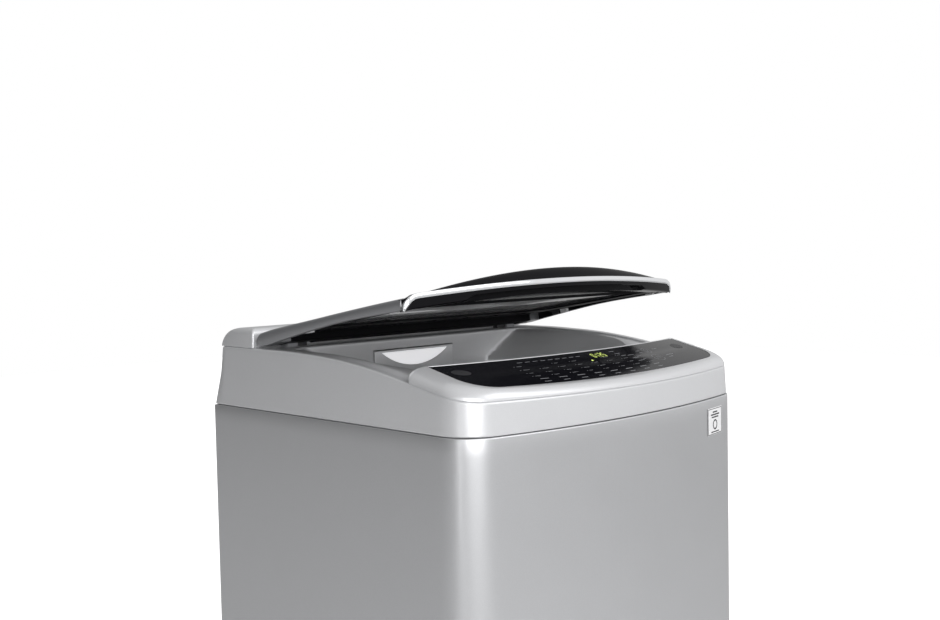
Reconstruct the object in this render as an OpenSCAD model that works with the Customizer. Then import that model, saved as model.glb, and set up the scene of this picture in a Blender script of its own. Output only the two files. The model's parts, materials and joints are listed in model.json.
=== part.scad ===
// Top load washing machine as an assembly of separate pieces, in millimetres.
// +Z is up and the front faces -Y. The origin is on the floor under the middle of the plan.
// The lid is drawn partly open, as its damped hinge leaves it.

/* [Cabinet] */
// Width of the cabinet
body_w = 590; // [580:1:600]
// Depth of the cabinet from its front bow to its back
body_d = 580; // [576:1:584]
// How far the front bows forward of its corners
front_bow = 38; // [32:1:42]
// Radius of the two front corners
corner_r = 60; // [50:1:70]
// Thickness of the steel sheet
sheet = 1.2; // [0.8:0.1:1.6]
// Height of the seam between cabinet and top cover
seam_z = 842; // [838:1:846]

/* [Top cover] */
// Height of the deck behind the opening
deck_z = 931; // [929:1:932]
// Wall thickness of the mouldings
mould = 3; // [2.5:0.1:3.5]
// Half width of the loading opening
mouth_x = 262; // [256:1:264]
// Back wall of the loading opening
mouth_back = 142; // [138:1:144]

/* [Lid] */
// Half width of the lid
lid_x = 286; // [282:1:287]
// Reach of the lid from its hinge to the middle of its front edge
lid_reach = 355; // [350:1:356]
// Angle of the lid above level as drawn
lid_rest = 8.9; // [6:0.1:12]

/* [Drum] */
// Outer radius of the water tub
tub_r = 248; // [240:1:250]
// Radius of the spin basket
basket_r = 228; // [224:1:230]
// Radius of the pulsator
pulsator_r = 168; // [150:1:172]

/* [Feet] */
// Height of the cabinet's lower edge above the floor
cab_z = 24; // [22:1:28]
// Radius of a foot's pad
foot_r = 24; // [18:1:26]

/* [Hidden] */
$fn = 96;
big_fn = 360;
eps = 0.5;
half_w = body_w / 2;
rear_fit = 10;
front_y = -(body_d + rear_fit) / 2;
rear_y = front_y + body_d;
back_y = rear_y + rear_fit;
rear_r = 3;
cap_top = 960;
cover_inset = 2;
cover_z = seam_z + 1;
side_draft = 5.5;
rear_draft = 12;
funnel_z = 850;
mouth_r = 206;
bowl_z = 881;
bowl_flare = 1.35;
console_y = -188;
console_r = 1180;
glass_slope = 16.7;

pivot_y = 171;
pivot_z = 946;
pin_r = 4;
run = 0.06;
hinge_x = 226;
ear_w = 18;
damper_w = 27;
lid_bow = 33;
lid_corner = 12;
lid_front = lid_reach - 44;
rail_floor = 5.5;
glass_floor = rail_floor;
glass_top = 9.5;
inner_floor = 1.5;
nose_top = 43;
nose_r = 1363;
nose_floor = 8;
nose_floor_r = 4305;
trim_top = 27;
trim_floor = 19.5;
trim_r = 4812;
trim_t = 3;

drawer_x0 = -96;
drawer_x1 = 72;
drawer_z0 = 864;
drawer_z1 = 914;
drawer_y1 = 250;

tub_z = 236;
tub_top = 770;
tub_wall = 3;
rod_x = 225;
rod_y = 205;
rod_r = 4;
rod_top = 822;
cup_z = 300;
spring_z0 = 304;
lug_z = 398;
seat_h = 6;
spring_r = 16;
wire_r = 2;
coils = 5;
basket_z = 250;
basket_top = 716;
ring_z = basket_top + 0.3;
ring_top = 764;
shaft_r = 10;
sleeve_r = 16;
housing_r = 34;
bearing_r = 26;
rotor_r = 118;
pump_x = -120;
pump_y = 122;
hose_z = 212;
outlet_z = hose_z;
foot_x = 246;
foot_front = -212;
foot_back = 252;
foot_stem = 5;

silver = [0.72, 0.73, 0.75];
grey = [0.55, 0.56, 0.58];
black = [0.06, 0.06, 0.07];
steel = [0.75, 0.76, 0.78];
white = [0.9, 0.9, 0.9];

// --- outlines ---------------------------------------------------------------

function arc(c, r, a0, a1, n) =
    [for (i = [0:n]) let (a = a0 + (a1 - a0) * i / n) [c[0] + r * cos(a), c[1] + r * sin(a)]];

// A plan with straight sides and back and a front that bows forward, inset by t.
function bowed(half, front, bow, fr, rear, rr, t) =
    let (big = (half * half + bow * bow) / (2 * bow),
         cy = front + big,
         cx = half - fr,
         yc = cy - sqrt(pow(big - fr, 2) - cx * cx),
         s = asin(cx / (big - fr)),
         step = s / 8,
         r2 = max(rr - t, 1),
         bx = half - t - r2,
         by = rear - t - r2)
    concat(arc([0, cy], big - t, 270 - s + step, 270 + s - step, 14),
           arc([cx, yc], max(fr - t, 1), 270 + s, 360, 6),
           arc([bx, by], r2, 0, 90, 4),
           arc([-bx, by], r2, 90, 180, 4),
           arc([-cx, yc], max(fr - t, 1), 180, 270 - s, 6));

module plan(t, rear = rear_y) {
    polygon(bowed(half_w, front_y, front_bow, corner_r, rear, rear_r, t));
}

module mouth(t) {
    polygon(bowed(mouth_x, console_y - mould, 29, 20, mouth_back, 36, t));
}

module lid_plan(t) {
    polygon(bowed(lid_x, -lid_reach, lid_bow, lid_corner, 12, 2, t));
}

module slab(z0, z1) {
    translate([0, 0, z0])
        linear_extrude(height = z1 - z0)
            children();
}

// A profile in Y and Z drawn across the whole width.
module across(width) {
    rotate([90, 0, 90])
        linear_extrude(height = width, center = true)
            children();
}

module box(x0, x1, y0, y1, z0, z1) {
    translate([x0, y0, z0])
        cube([x1 - x0, y1 - y0, z1 - z0]);
}

module tube(r_out, r_in, z0, z1) {
    translate([0, 0, z0])
        difference() {
            cylinder(r = r_out, h = z1 - z0);
            translate([0, 0, -eps])
                cylinder(r = r_in, h = z1 - z0 + 2 * eps);
        }
}

module along_y(x, y0, z, r, length) {
    translate([x, y0, z])
        rotate([-90, 0, 0])
            cylinder(r = r, h = length);
}

module along_x(x0, y, z, r, length) {
    translate([x0, y, z])
        rotate([0, 90, 0])
            cylinder(r = r, h = length);
}

module mirrored() {
    children();
    mirror([1, 0, 0])
        children();
}

module at_rods() {
    for (sx = [-1, 1])
        for (sy = [-1, 1])
            translate([sx * rod_x, sy * rod_y, 0])
                children();
}

module at_feet() {
    for (sx = [-1, 1])
        for (y = [foot_front, foot_back])
            translate([sx * foot_x, y, 0])
                children();
}

// --- cabinet and base -------------------------------------------------------

module cabinet() {
    lip = 18;
    stile = 30;
    color(silver)
        difference() {
            union() {
                slab(cab_z, seam_z)
                    difference() {
                        plan(0);
                        plan(sheet);
                    }
                slab(seam_z - sheet, seam_z)
                    difference() {
                        plan(sheet / 2);
                        plan(lip);
                    }
            }
            box(stile - half_w, half_w - stile, rear_y - 2 * sheet, rear_y + 1, 70, seam_z - stile);
            at_panel_screws(rear_y - 3, 2, 6);
        }
}

module rear_panel() {
    edge = 18;
    color(steel)
        difference() {
            union() {
                box(edge - half_w, half_w - edge, rear_y, rear_y + 1, 50, seam_z - edge);
                for (z = [300, 480, 660])
                    box(-200, 200, rear_y + 1 - 0.01, rear_y + 3, z, z + 40);
            }
            box(pump_x - 35, pump_x + 35, rear_y - 1, back_y, outlet_z - 35, outlet_z + 35);
            along_y(180, rear_y - 1, 160, 8, 4);
            at_panel_screws(rear_y - 1, 2, 6);
        }
}

module at_panel_screws(y, r, h) {
    for (sx = [-1, 1])
        for (i = [0:3])
            along_y(sx * (half_w - 24), y, 80 + i * 235, r, h);
}

module rear_panel_screws() {
    color(steel) {
        at_panel_screws(rear_y + 1, 4.5, 2.4);
        at_panel_screws(rear_y - 6, 2, 7.1);
    }
}

module base_frame() {
    floor_t = 4;
    color(black)
        difference() {
            union() {
                slab(20, 62)
                    difference() {
                        plan(sheet + 0.3);
                        plan(sheet + 4);
                    }
                slab(20, 20 + floor_t)
                    difference() {
                        plan(sheet + 0.3);
                        plan(56);
                    }
                at_feet()
                    translate([0, 0, 20])
                        cylinder(r = 15, h = 32);
            }
            at_feet()
                translate([0, 0, 19])
                    cylinder(r = foot_stem + run, h = 34);
        }
}

module foot_nuts() {
    color(steel)
        at_feet()
            difference() {
                translate([0, 0, 15])
                    cylinder(r = 10, h = 5, $fn = 6);
                translate([0, 0, 14])
                    cylinder(r = foot_stem + run, h = 7);
            }
}

module foot(x, y) {
    color(black)
        translate([x, y, 0]) {
            rotate_extrude()
                polygon([[0, 0], [foot_r - 1.5, 0], [foot_r, 1.5], [foot_r, 6], [14, 11], [0, 11]]);
            cylinder(r = foot_stem, h = 50);
        }
}

// --- suspension -------------------------------------------------------------

module suspension_brackets() {
    color(steel)
        difference() {
            slab(806, 809)
                intersection() {
                    plan(sheet + 0.3);
                    at_rods()
                        square([150, 170], center = true);
                }
            at_rods()
                translate([0, 0, 800])
                    cylinder(r = 9, h = 20);
            slab(800, 820)
                circle(r = tub_r + 8);
        }
}

module suspension_rods() {
    color(steel)
        at_rods() {
            translate([0, 0, cup_z - 14])
                cylinder(r = rod_r, h = rod_top - cup_z + 14);
            translate([0, 0, cup_z - 14])
                cylinder(r = 7, h = 8, $fn = 6);
        }
}

module rod_caps() {
    color(white)
        at_rods()
            difference() {
                rotate_extrude()
                    polygon(concat([[0, 809], [14, 809]], arc([0, 809], 14, 10, 75, 8), [[0, 822]]));
                translate([0, 0, 800])
                    cylinder(r = rod_r, h = 30);
            }
}

module spring_cups() {
    color(black)
        at_rods()
            rotate_extrude()
                polygon([[rod_r, cup_z - 6], [12, cup_z - 6], [22, cup_z], [22, spring_z0 + 4],
                         [20, spring_z0 + 4], [20, spring_z0], [rod_r, spring_z0]]);
}

module spring_seats() {
    color(black)
        at_rods()
            tube(22, rod_r + 2, lug_z - seat_h, lug_z);
}

module suspension_springs() {
    gap = 0.2;
    rise = lug_z - seat_h - spring_z0 - 2 * wire_r - 2 * gap;
    color(steel)
        at_rods()
            translate([0, 0, spring_z0 + wire_r + gap])
                linear_extrude(height = rise, twist = -360 * coils, slices = coils * 14, $fn = 8)
                    translate([spring_r, 0])
                        circle(r = wire_r, $fn = 8);
}

// --- top cover --------------------------------------------------------------

module drafted(t) {
    hull() {
        slab(cover_z, cover_z + 1)
            plan(cover_inset + t);
        slab(cap_top - 1, cap_top)
            plan(cover_inset + side_draft + t, rear_y - rear_draft);
    }
}

// Everything under the line of the cover's rim, lowered by drop.
module under_rim(drop) {
    across(body_w + 20)
        translate([0, -drop])
            polygon([[rear_y + 20, seam_z - 9], [rear_y + 20, deck_z], [157, deck_z], [100, deck_z],
                     [63, 929.5], [16, 927.5], [-31, 923.5], [-90, 915.5], [-152, 904],
                     [-225, 890], [-243, 886.5], [front_y - 10, 882], [front_y - 10, seam_z - 9]]);
}

module top_cover() {
    color(silver)
        difference() {
            intersection() {
                drafted(0);
                under_rim(0);
            }
            difference() {
                intersection() {
                    translate([0, 0, -1])
                        drafted(mould);
                    under_rim(mould);
                }
                funnel(mould, funnel_z);
                side_posts();
            }
            funnel(0, seam_z - 5);
            console_well();
            drawer_way();
            box(138, 258, mouth_back + 60, back_y, 868, 912);
            mirrored()
                box(270, 279, 66, 110, deck_z - 20, deck_z + 2);
        }
}

// The loading funnel: a straight-walled mouth cut down to a bowl around the drum's axis.
module funnel(t, z0) {
    rise = cap_top - bowl_z;
    intersection() {
        slab(z0, cap_top)
            mouth(-t);
        rotate_extrude($fn = 180)
            polygon([[0, z0 - 1], [mouth_r + t, z0 - 1], [mouth_r + t, bowl_z - t],
                     [mouth_r + t + rise * bowl_flare, cap_top - t], [0, cap_top - t]]);
    }
}

module side_posts() {
    for (sx = [-1, 1])
        for (y = [-120, 20])
            box(sx * 280 - 8, sx * 280 + 8, y - 3, y + 3, seam_z, 915);
}

module console_well() {
    box(-225, 225, front_y + 34, console_y - 12, 866, cap_top);
}

module drawer_way() {
    gap = 1.5;
    box(drawer_x0 - gap, drawer_x1 + gap, mouth_back - 1, mouth_back + 8, drawer_z0 - gap, drawer_z1 + gap);
}

module rear_cap() {
    front = pivot_y + 16;
    color(silver)
        difference() {
            cap_shape(0, front);
            translate([0, 0, -1])
                cap_shape(mould, front + mould);
        }
}

module cap_shape(t, front) {
    intersection() {
        drafted(t);
        across(body_w + 20)
            polygon(concat([[front, deck_z - t * 2]],
                           arc([front + 6, cap_top - 6 - t], 6, 180, 90, 4),
                           arc([rear_y - 57, cap_top - 36 - t], 36, 80, 20, 8),
                           [[rear_y, deck_z + 10], [rear_y, deck_z - t * 2]]));
        slab(deck_z - t * 2, cap_top)
            square(2 * body_w, center = true);
    }
}

// --- console ----------------------------------------------------------------

module console_front(t) {
    difference() {
        children();
        behind_console(t);
    }
}

// The plan behind the console's bowed rear edge, grown by t.
module behind_console(t) {
    polygon(concat(arc([0, console_y + console_r], console_r + t, 254, 286, 32),
                   [[body_w, back_y], [-body_w, back_y]]));
}

// The console's top line in Y and Z, lowered by drop.
module console_profile(drop) {
    across(body_w + 20)
        translate([0, -drop])
            polygon(concat([[-140, 880], [-140, 920], [-166, 924.4], [-178, 925.4]],
                           arc([front_y + 33, 874.2], 30, 90 - glass_slope, 170, 8),
                           [[front_y + 2, 872]]));
}

module glass_plan(t) {
    console_front(t)
        polygon(bowed(mouth_x, -272, 24, 26, -100, 2, t));
}

module console_bezel() {
    color(silver)
        difference() {
            intersection() {
                drafted(0);
                console_profile(0);
                slab(seam_z, cap_top)
                    console_front(0)
                        square([2 * body_w, 590], center = true);
            }
            under_rim(0);
            difference() {
                intersection() {
                    drafted(mould);
                    console_profile(2 * mould);
                }
                slab(seam_z - 1, cap_top + 1)
                    behind_console(mould);
            }
            glass_pocket(0);
        }
}

// The space the glass fills: a slab that leans forward with the console.
module glass_pocket(t) {
    intersection() {
        slab(seam_z, cap_top)
            glass_plan(4 + t);
        translate([0, -178, 922])
            rotate([glass_slope, 0, 0])
                translate([-body_w / 2, -200, 0])
                    cube([body_w, 300, 30]);
    }
}

module control_glass() {
    color(black)
        intersection() {
            glass_pocket(0.4);
            translate([0, -178, 922])
                rotate([glass_slope, 0, 0])
                    translate([-body_w / 2, -200, 0])
                        cube([body_w, 300, 3]);
        }
}

module control_housing() {
    color(black)
        difference() {
            box(-220, 220, front_y + 38, console_y - 16, 868, 893);
            box(-217, 217, front_y + 41, console_y - 19, 871, cap_top);
        }
}

module display_board() {
    color([0.05, 0.3, 0.12]) {
        box(-214, 214, front_y + 44, console_y - 22, 876, 877.6);
        box(-20, 30, -236, -216, 877.6, 886);
        for (i = [0:5])
            translate([-170 + i * 28, -226, 877.6])
                cylinder(r = 5, h = 6);
        for (sx = [-1, 1])
            box(sx * 190 - 5, sx * 190 + 5, -234, -224, 871, 876);
    }
}

module front_badge() {
    color(steel)
        slab(788, 828)
            intersection() {
                difference() {
                    plan(-0.8);
                    plan(0);
                }
                translate([182, -300])
                    square([50, 60]);
            }
}

// --- water inlet and drawer -------------------------------------------------

module dispenser_housing() {
    wall = 2.5;
    color(grey)
        difference() {
            union() {
                box(drawer_x0 - 5, drawer_x1 + 5, mouth_back + mould, drawer_y1 + 8,
                    drawer_z0 - 6, drawer_z1 + 8);
                along_x(drawer_x1, 240, 890, 9, 22);
            }
            box(drawer_x0 - 5 + wall, drawer_x1 + 5 - wall, mouth_back, drawer_y1 + 8 - wall,
                drawer_z0 - 6 + wall, drawer_z1 + 8 - wall);
            along_x(drawer_x1, 240, 890, 6.5, 30);
            for (i = [0:4])
                translate([drawer_x0 + 24 + i * 30, 160, drawer_z0 - 10])
                    cylinder(r = 4, h = 12);
        }
}

module drawer_tray() {
    color(white)
        difference() {
            box(drawer_x0 + 3, drawer_x1 - 3, mouth_back + 2, drawer_y1, drawer_z0 + 2, drawer_z1 - 4);
            box(drawer_x0 + 5, -10, mouth_back + 4, drawer_y1 - 2, drawer_z0 + 4, drawer_z1);
            box(-8, drawer_x1 - 5, mouth_back + 4, drawer_y1 - 2, drawer_z0 + 4, drawer_z1);
        }
}

module drawer_front() {
    color(grey)
        difference() {
            box(drawer_x0, drawer_x1, mouth_back - 2, mouth_back + 2, drawer_z0, drawer_z1);
            grip_shape(mouth_back - 3, 2.5);
        }
}

// A round segment with its chord along the drawer's top.
module grip_shape(y0, depth) {
    mid = (drawer_x0 + drawer_x1) / 2;
    r = 118;
    intersection() {
        along_y(mid, y0, drawer_z1 - 27 + r, r, depth);
        box(drawer_x0 + 4, drawer_x1 - 4, y0, y0 + depth, drawer_z0, drawer_z1 - 3);
    }
}

module drawer_grip() {
    color(white)
        grip_shape(mouth_back - 2, 1.5);
}

module siphon_cap() {
    color([0.2, 0.4, 0.7]) {
        box(-6, drawer_x1 - 7, mouth_back + 60, drawer_y1 - 6, drawer_z1 - 14, drawer_z1 - 11);
        translate([30, mouth_back + 80, drawer_z0 + 6])
            cylinder(r = 9, h = 31);
    }
}

module inlet_valves() {
    color(white)
        for (x = [170, 225])
            inlet_valve(x, 890);
}

module inlet_valve(x, z) {
    difference() {
        union() {
            along_y(x, 262, z, 13.2, back_y - 262);
            along_y(x, 258, z, 17, 6);
            along_y(x, 226, z, 15, 34);
            translate([x, 240, z])
                cylinder(r = 13, h = 32);
            along_x(x - 28, 234, z, 7, 30);
        }
        along_y(x, 250, z, 9, 60);
        along_x(x - 30, 234, z, 4, 20);
    }
}

module fill_hoses() {
    color(black)
        difference() {
            union() {
                along_x(drawer_x1 + 12, 240, 890, 11.5, 28);
                box(drawer_x1 + 38, 200, 204, 218, 876, 904);
                along_y(drawer_x1 + 38, 208, 890, 10, 36);
            }
            along_x(drawer_x1 + 11, 240, 890, 9, 12);
            box(drawer_x1 + 41, 197, 207, 215, 879, 901);
        }
}

// --- electrics --------------------------------------------------------------

module power_case() {
    color(white)
        difference() {
            box(-252, -112, 160, 258, 862, 914);
            box(-249.5, -114.5, 162.5, 255.5, 864.5, 912);
            box(-200, -160, 250, 262, 880, 890);
        }
}

module cord_gland() {
    color(black)
        difference() {
            union() {
                along_y(180, rear_y + 1, 160, 12, back_y - rear_y - 1);
                along_y(180, rear_y - 8, 160, 7.8, 10);
                along_y(180, rear_y - 11, 160, 11, 5);
            }
            along_y(180, rear_y - 20, 160, 4.5, 40);
        }
}

module drain_outlet() {
    half = 34;
    inner = 31;
    depth = 24;
    floor_y = rear_y - depth;
    color(black)
        difference() {
            union() {
                box(pump_x - half, pump_x + half, floor_y - 3, rear_y + 2,
                    outlet_z - half, outlet_z + half);
                box(pump_x - 42, pump_x + 42, rear_y + 1, rear_y + 3, outlet_z - 42, outlet_z + 42);
                along_y(pump_x, floor_y - 22, outlet_z, 12, 22);
            }
            difference() {
                box(pump_x - inner, pump_x + inner, floor_y, back_y, outlet_z - inner, outlet_z + inner);
                along_y(pump_x, floor_y, outlet_z, 15, back_y - floor_y);
            }
            along_y(pump_x, floor_y - 30, outlet_z, 9, 60);
        }
    color(black)
        difference() {
            along_y(pump_x, floor_y - 1, outlet_z, 15, back_y - floor_y + 1);
            along_y(pump_x, floor_y - 30, outlet_z, 9, 60);
        }
}

module lid_lock() {
    color(black)
        difference() {
            box(267, 281.5, 58, 118, deck_z - 32, deck_z - mould - 2);
            box(270.5, 278.5, 68, 108, deck_z - 18, deck_z);
        }
}

// --- lid --------------------------------------------------------------------

module on_lid() {
    translate([0, pivot_y, pivot_z])
        rotate([-lid_rest, 0, 0])
            children();
}

// Side view of the lid's rails, in distance from the hinge and height.
module rail_profile() {
    end = -lid_reach - 5;
    across(2 * lid_x + 20)
        polygon(concat([for (p = arc([0, -2], 10, 250, 90, 10)) [-p[0], p[1]]],
                       [[-28, 10], [-79, 11.2], [-173, 13.2], [-260, 14.6], [end, 15], [end, -0.5],
                        [-268, 0], [-215, 0.6], [-170, -0.3], [-95, -4.9], [-50, -8.3], [-15, -11.3]]));
}

module hinge_notches(reach) {
    mirrored()
        box(hinge_x - damper_w - 4, hinge_x + ear_w + 5, -reach, 14, -20, 30);
}

module lid_frame() {
    rail = 28;
    color(grey)
        on_lid()
            difference() {
                intersection() {
                    slab(-14, 40)
                        lid_plan(0);
                    rail_profile();
                    box(-lid_x - 1, lid_x + 1, -lid_front, 20, -20, 40);
                }
                box(rail - lid_x, lid_x - rail, -lid_front - 1, -34, -20, 40);
                mirrored()
                    box(lid_x - rail - 1, lid_x - 6, -lid_front - 1, -36, -20, rail_floor);
                hinge_notches(13);
                mirrored()
                    along_x(hinge_x + ear_w + 4, 0, 0, pin_r, 14);
            }
}

module lid_inner_frame() {
    color(black)
        on_lid()
            difference() {
                box(7 - lid_x, lid_x - 7, -lid_front + 1, -37, inner_floor, rail_floor);
                box(36 - lid_x, lid_x - 36, -lid_front - 5, -80, 0, 20);
            }
}

module lid_glass() {
    side = lid_x - 28.5;
    color([0.2, 0.2, 0.22, 0.6])
        on_lid()
            box(-side, side, -lid_front + 0.5, -34.5, glass_floor, glass_top);
}

// Everything under a broad arch across the lid, whose top is at apex.
module crown(apex, r) {
    translate([0, 30, apex - r])
        rotate([90, 0, 0])
            cylinder(r = r, h = 500, $fn = big_fn * 2);
}

// Side view of the nose: it falls steeply from its crest to the glass.
module nose_profile() {
    crest = -lid_front - 22;
    back = -lid_front - 0.3;
    across(2 * lid_x)
        polygon([[back, -10], [back, glass_top + 7], [crest, nose_top + 1],
                 [-lid_reach - 1, nose_top + 1], [-lid_reach - 1, -10]]);
}

module lid_handle() {
    grip_x = 190;
    lean = 8;
    color(black)
        on_lid()
            difference() {
                intersection() {
                    union() {
                        slab(-2, trim_top)
                            lid_plan(trim_t);
                        hull() {
                            slab(trim_floor, trim_floor + 1)
                                lid_plan(trim_t);
                            slab(nose_top, nose_top + 1)
                                lid_plan(trim_t + lean);
                        }
                    }
                    crown(nose_top, nose_r);
                    nose_profile();
                }
                crown(nose_floor, nose_floor_r);
                box(-grip_x, grip_x, -lid_reach + 12, -lid_front - 14, -10, 22);
            }
}

module lid_trim() {
    color(steel)
        on_lid()
            difference() {
                intersection() {
                    slab(0, 40)
                        difference() {
                            lid_plan(0);
                            lid_plan(trim_t);
                        }
                    crown(trim_top, trim_r);
                    crown(nose_top, nose_r);
                    box(-lid_x, lid_x, -lid_reach - 1, -lid_front - 0.3, -10, 50);
                }
                crown(trim_floor, trim_r);
            }
}

module lid_hinge_pins() {
    color(steel)
        on_lid()
            mirrored()
                along_x(hinge_x - damper_w + 3, 0, 0, pin_r, damper_w + ear_w + 12);
}

module lid_bumpers() {
    color(white)
        on_lid()
            for (sx = [-1, 1])
                for (pad = [[103, -4.6], [287, -1]])
                    box(sx * 273 - 3, sx * 273 + 3, -pad[0] - 7, -pad[0] + 7, pad[1], inner_floor);
}

module lid_striker() {
    color(black)
        on_lid() {
            box(272.5, 276.5, -88, -74, -5.5, inner_floor);
            box(270, 279, -93, -69, 0, inner_floor);
        }
}

module hinge_brackets() {
    color(grey)
        difference() {
            mirrored()
                union() {
                    along_x(hinge_x, pivot_y, pivot_z, 9, ear_w);
                    box(hinge_x, hinge_x + ear_w, pivot_y - 9, pivot_y + 9, deck_z, pivot_z);
                }
            mirrored()
                along_x(hinge_x - 1, pivot_y, pivot_z, pin_r + run, ear_w + 2);
        }
}

module lid_dampers() {
    color(black)
        difference() {
            mirrored()
                union() {
                    along_x(hinge_x - damper_w, pivot_y, pivot_z, 8, damper_w);
                    box(hinge_x - 20, hinge_x, pivot_y - 5, pivot_y + 5, deck_z, pivot_z - 6);
                }
            mirrored()
                along_x(hinge_x - damper_w + 2, pivot_y, pivot_z, pin_r + run, damper_w);
        }
}

// --- tub --------------------------------------------------------------------

module outer_tub() {
    color([0.8, 0.8, 0.78])
        difference() {
            union() {
                rotate_extrude($fn = 180)
                    polygon([[36, tub_z], [tub_r - 14, tub_z], [tub_r, tub_z + 14], [tub_r, tub_top - 6],
                             [tub_r + 8, tub_top - 6], [tub_r + 8, tub_top], [tub_r - tub_wall, tub_top],
                             [tub_r - tub_wall, tub_z + 16], [tub_r - 16, tub_z + 4], [36, tub_z + 4]]);
                tub_lugs();
            }
            at_rods()
                translate([0, 0, lug_z - 5])
                    cylinder(r = 9, h = 60);
            translate([pump_x, pump_y, tub_z - 1])
                cylinder(r = 16, h = 8);
        }
}

module tub_lugs() {
    reach = sqrt(rod_x * rod_x + rod_y * rod_y) + 18;
    turn = atan2(rod_y, rod_x);
    for (a = [turn, 180 - turn, 180 + turn, -turn])
        rotate([0, 0, a]) {
            box(tub_r - 2, reach, -24, 24, lug_z, lug_z + 8);
            for (s = [-1, 1])
                box(tub_r - 2, reach, s * 24 - 3, s * 24 + 3, lug_z, lug_z + 40);
        }
}

module tub_cover() {
    color([0.82, 0.82, 0.8])
        rotate_extrude($fn = 180)
            polygon([[200, tub_top + 4], [tub_r + 8, tub_top], [tub_r + 8, tub_top + 6],
                     [206, tub_top + 14], [200, tub_top + 14]]);
}

module bearing_housing() {
    color(steel)
        union() {
            tube(housing_r, bearing_r, 166, tub_z);
            tube(110, housing_r - 1, tub_z - 8, tub_z);
            tube(60, housing_r - 1, 166, 171);
            for (i = [0:5])
                rotate([0, 0, i * 60])
                    box(housing_r - 2, 104, -3, 3, 188, tub_z - 7);
        }
}

module tub_bearings() {
    color(steel)
        for (z = [172, 208])
            tube(bearing_r - 0.03, sleeve_r + run, z, z + 14);
}

module shaft_seal() {
    color(black)
        tube(bearing_r - 0.03, sleeve_r + run, 224, tub_z + 2);
}

module stator() {
    teeth = 24;
    color([0.72, 0.4, 0.2]) {
        tube(58, 36, 160, 166);
        tube(74, 54, 148, 166);
        for (i = [0:teeth - 1])
            rotate([0, 0, i * 360 / teeth]) {
                box(72, 100, -4.5, 4.5, 149, 165);
                box(99, 107, -10, 10, 149, 165);
            }
    }
}

module drain_pump() {
    color(black)
        difference() {
            union() {
                translate([pump_x, pump_y, 196])
                    cylinder(r = 34, h = 34);
                translate([pump_x, pump_y, 228])
                    cylinder(r = 20, h = 8);
                translate([pump_x, pump_y, 150])
                    cylinder(r = 24, h = 48);
                along_y(pump_x, pump_y, hose_z, 12, 84);
            }
            translate([pump_x, pump_y, 200])
                cylinder(r = 15, h = 40);
            along_y(pump_x, pump_y, hose_z, 9, 90);
        }
}

module drain_hose() {
    y0 = 184;
    y1 = rear_y - 24 - 3.5;
    rings = 9;
    pitch = (y1 - y0 - 16) / rings;
    color(black)
        translate([pump_x, 0, hose_z])
            rotate([-90, 0, 0])
                rotate_extrude()
                    polygon(concat([[12.05, y0], [15, y0], [15, y0 + 8]],
                                   [for (i = [0:rings - 1], p = [[14, 0.1], [18, 0.3], [18, 0.7], [14, 0.9]])
                                        [p[0], y0 + 8 + pitch * (i + p[1])]],
                                   [[15, y1 - 8], [15, y1], [12.05, y1]]));
}

// --- basket and drive -------------------------------------------------------

module basket() {
    rows = 6;
    columns = 14;
    color(steel)
        difference() {
            rotate_extrude($fn = 180)
                polygon([[60, basket_z], [basket_r - 10, basket_z], [basket_r, basket_z + 10],
                         [basket_r, basket_top], [basket_r - 1.2, basket_top],
                         [basket_r - 1.2, basket_z + 10.5], [basket_r - 10.5, basket_z + 1.2],
                         [60, basket_z + 1.2]]);
            for (i = [0:columns - 1])
                for (j = [0:rows - 1])
                    rotate([0, 0, 9 + i * 360 / columns])
                        along_x(basket_r - 8, 0, 320 + j * 66, 3, 16);
        }
}

module balance_ring() {
    color(white)
        rotate_extrude($fn = 180)
            polygon([[basket_r - 1.5, ring_z], [basket_r + 4, ring_z + 8], [basket_r + 4, ring_top - 8],
                     [basket_r - 4, ring_top], [188, ring_top], [180, ring_top - 10],
                     [184, ring_z - 12], [190, ring_z - 16], [basket_r - 1.5, ring_z - 16]]);
}

module basket_base() {
    color(white)
        difference() {
            rotate_extrude($fn = 180)
                polygon([[sleeve_r + 0.5, basket_z + 1.4], [basket_r - 12, basket_z + 1.4],
                         [basket_r - 6, basket_z + 12], [basket_r - 6, basket_z + 34],
                         [basket_r - 10, basket_z + 34], [pulsator_r + 6, basket_z + 14],
                         [sleeve_r + 0.5, basket_z + 14]]);
            for (i = [0:11])
                rotate([0, 0, i * 30])
                    box(70, 150, -2, 2, basket_z + 10, basket_z + 16);
        }
}

module basket_shaft() {
    color(steel) {
        tube(sleeve_r, shaft_r + run, 168, basket_z + 13);
        tube(58, sleeve_r - 0.5, tub_z + 7, basket_z);
    }
}

module lint_filters() {
    color(white)
        for (a = [0, 180])
            rotate([0, 0, a])
                difference() {
                    box(basket_r - 16, basket_r - 4, -36, 36, 420, 590);
                    box(basket_r - 17, basket_r - 10, -28, 28, 450, 580);
                }
}

module drive_shaft() {
    color(steel)
        translate([0, 0, 128])
            cylinder(r = shaft_r, h = 172);
}

module rotor() {
    color(grey)
        difference() {
            union() {
                tube(rotor_r, rotor_r - 4, 138, 172);
                translate([0, 0, 138])
                    cylinder(r = rotor_r - 1, h = 4);
                translate([0, 0, 138])
                    cylinder(r = 24, h = 18);
            }
            translate([0, 0, 130])
                cylinder(r = shaft_r, h = 40);
            for (i = [0:11])
                rotate([0, 0, i * 30])
                    box(50, 92, -5, 5, 130, 150);
        }
}

module pulsator() {
    z = basket_z + 16;
    color(white)
        difference() {
            union() {
                rotate_extrude($fn = 180)
                    polygon([[0, z], [pulsator_r, z], [pulsator_r + 2, z + 5], [pulsator_r - 4, z + 9],
                             [120, z + 7], [60, z + 14], [34, z + 34], [0, z + 34]]);
                for (i = [0:5])
                    rotate([0, 0, i * 60])
                        vane(z + 6);
            }
            translate([0, 0, z - 1])
                cylinder(r = shaft_r, h = 36);
        }
}

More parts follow.
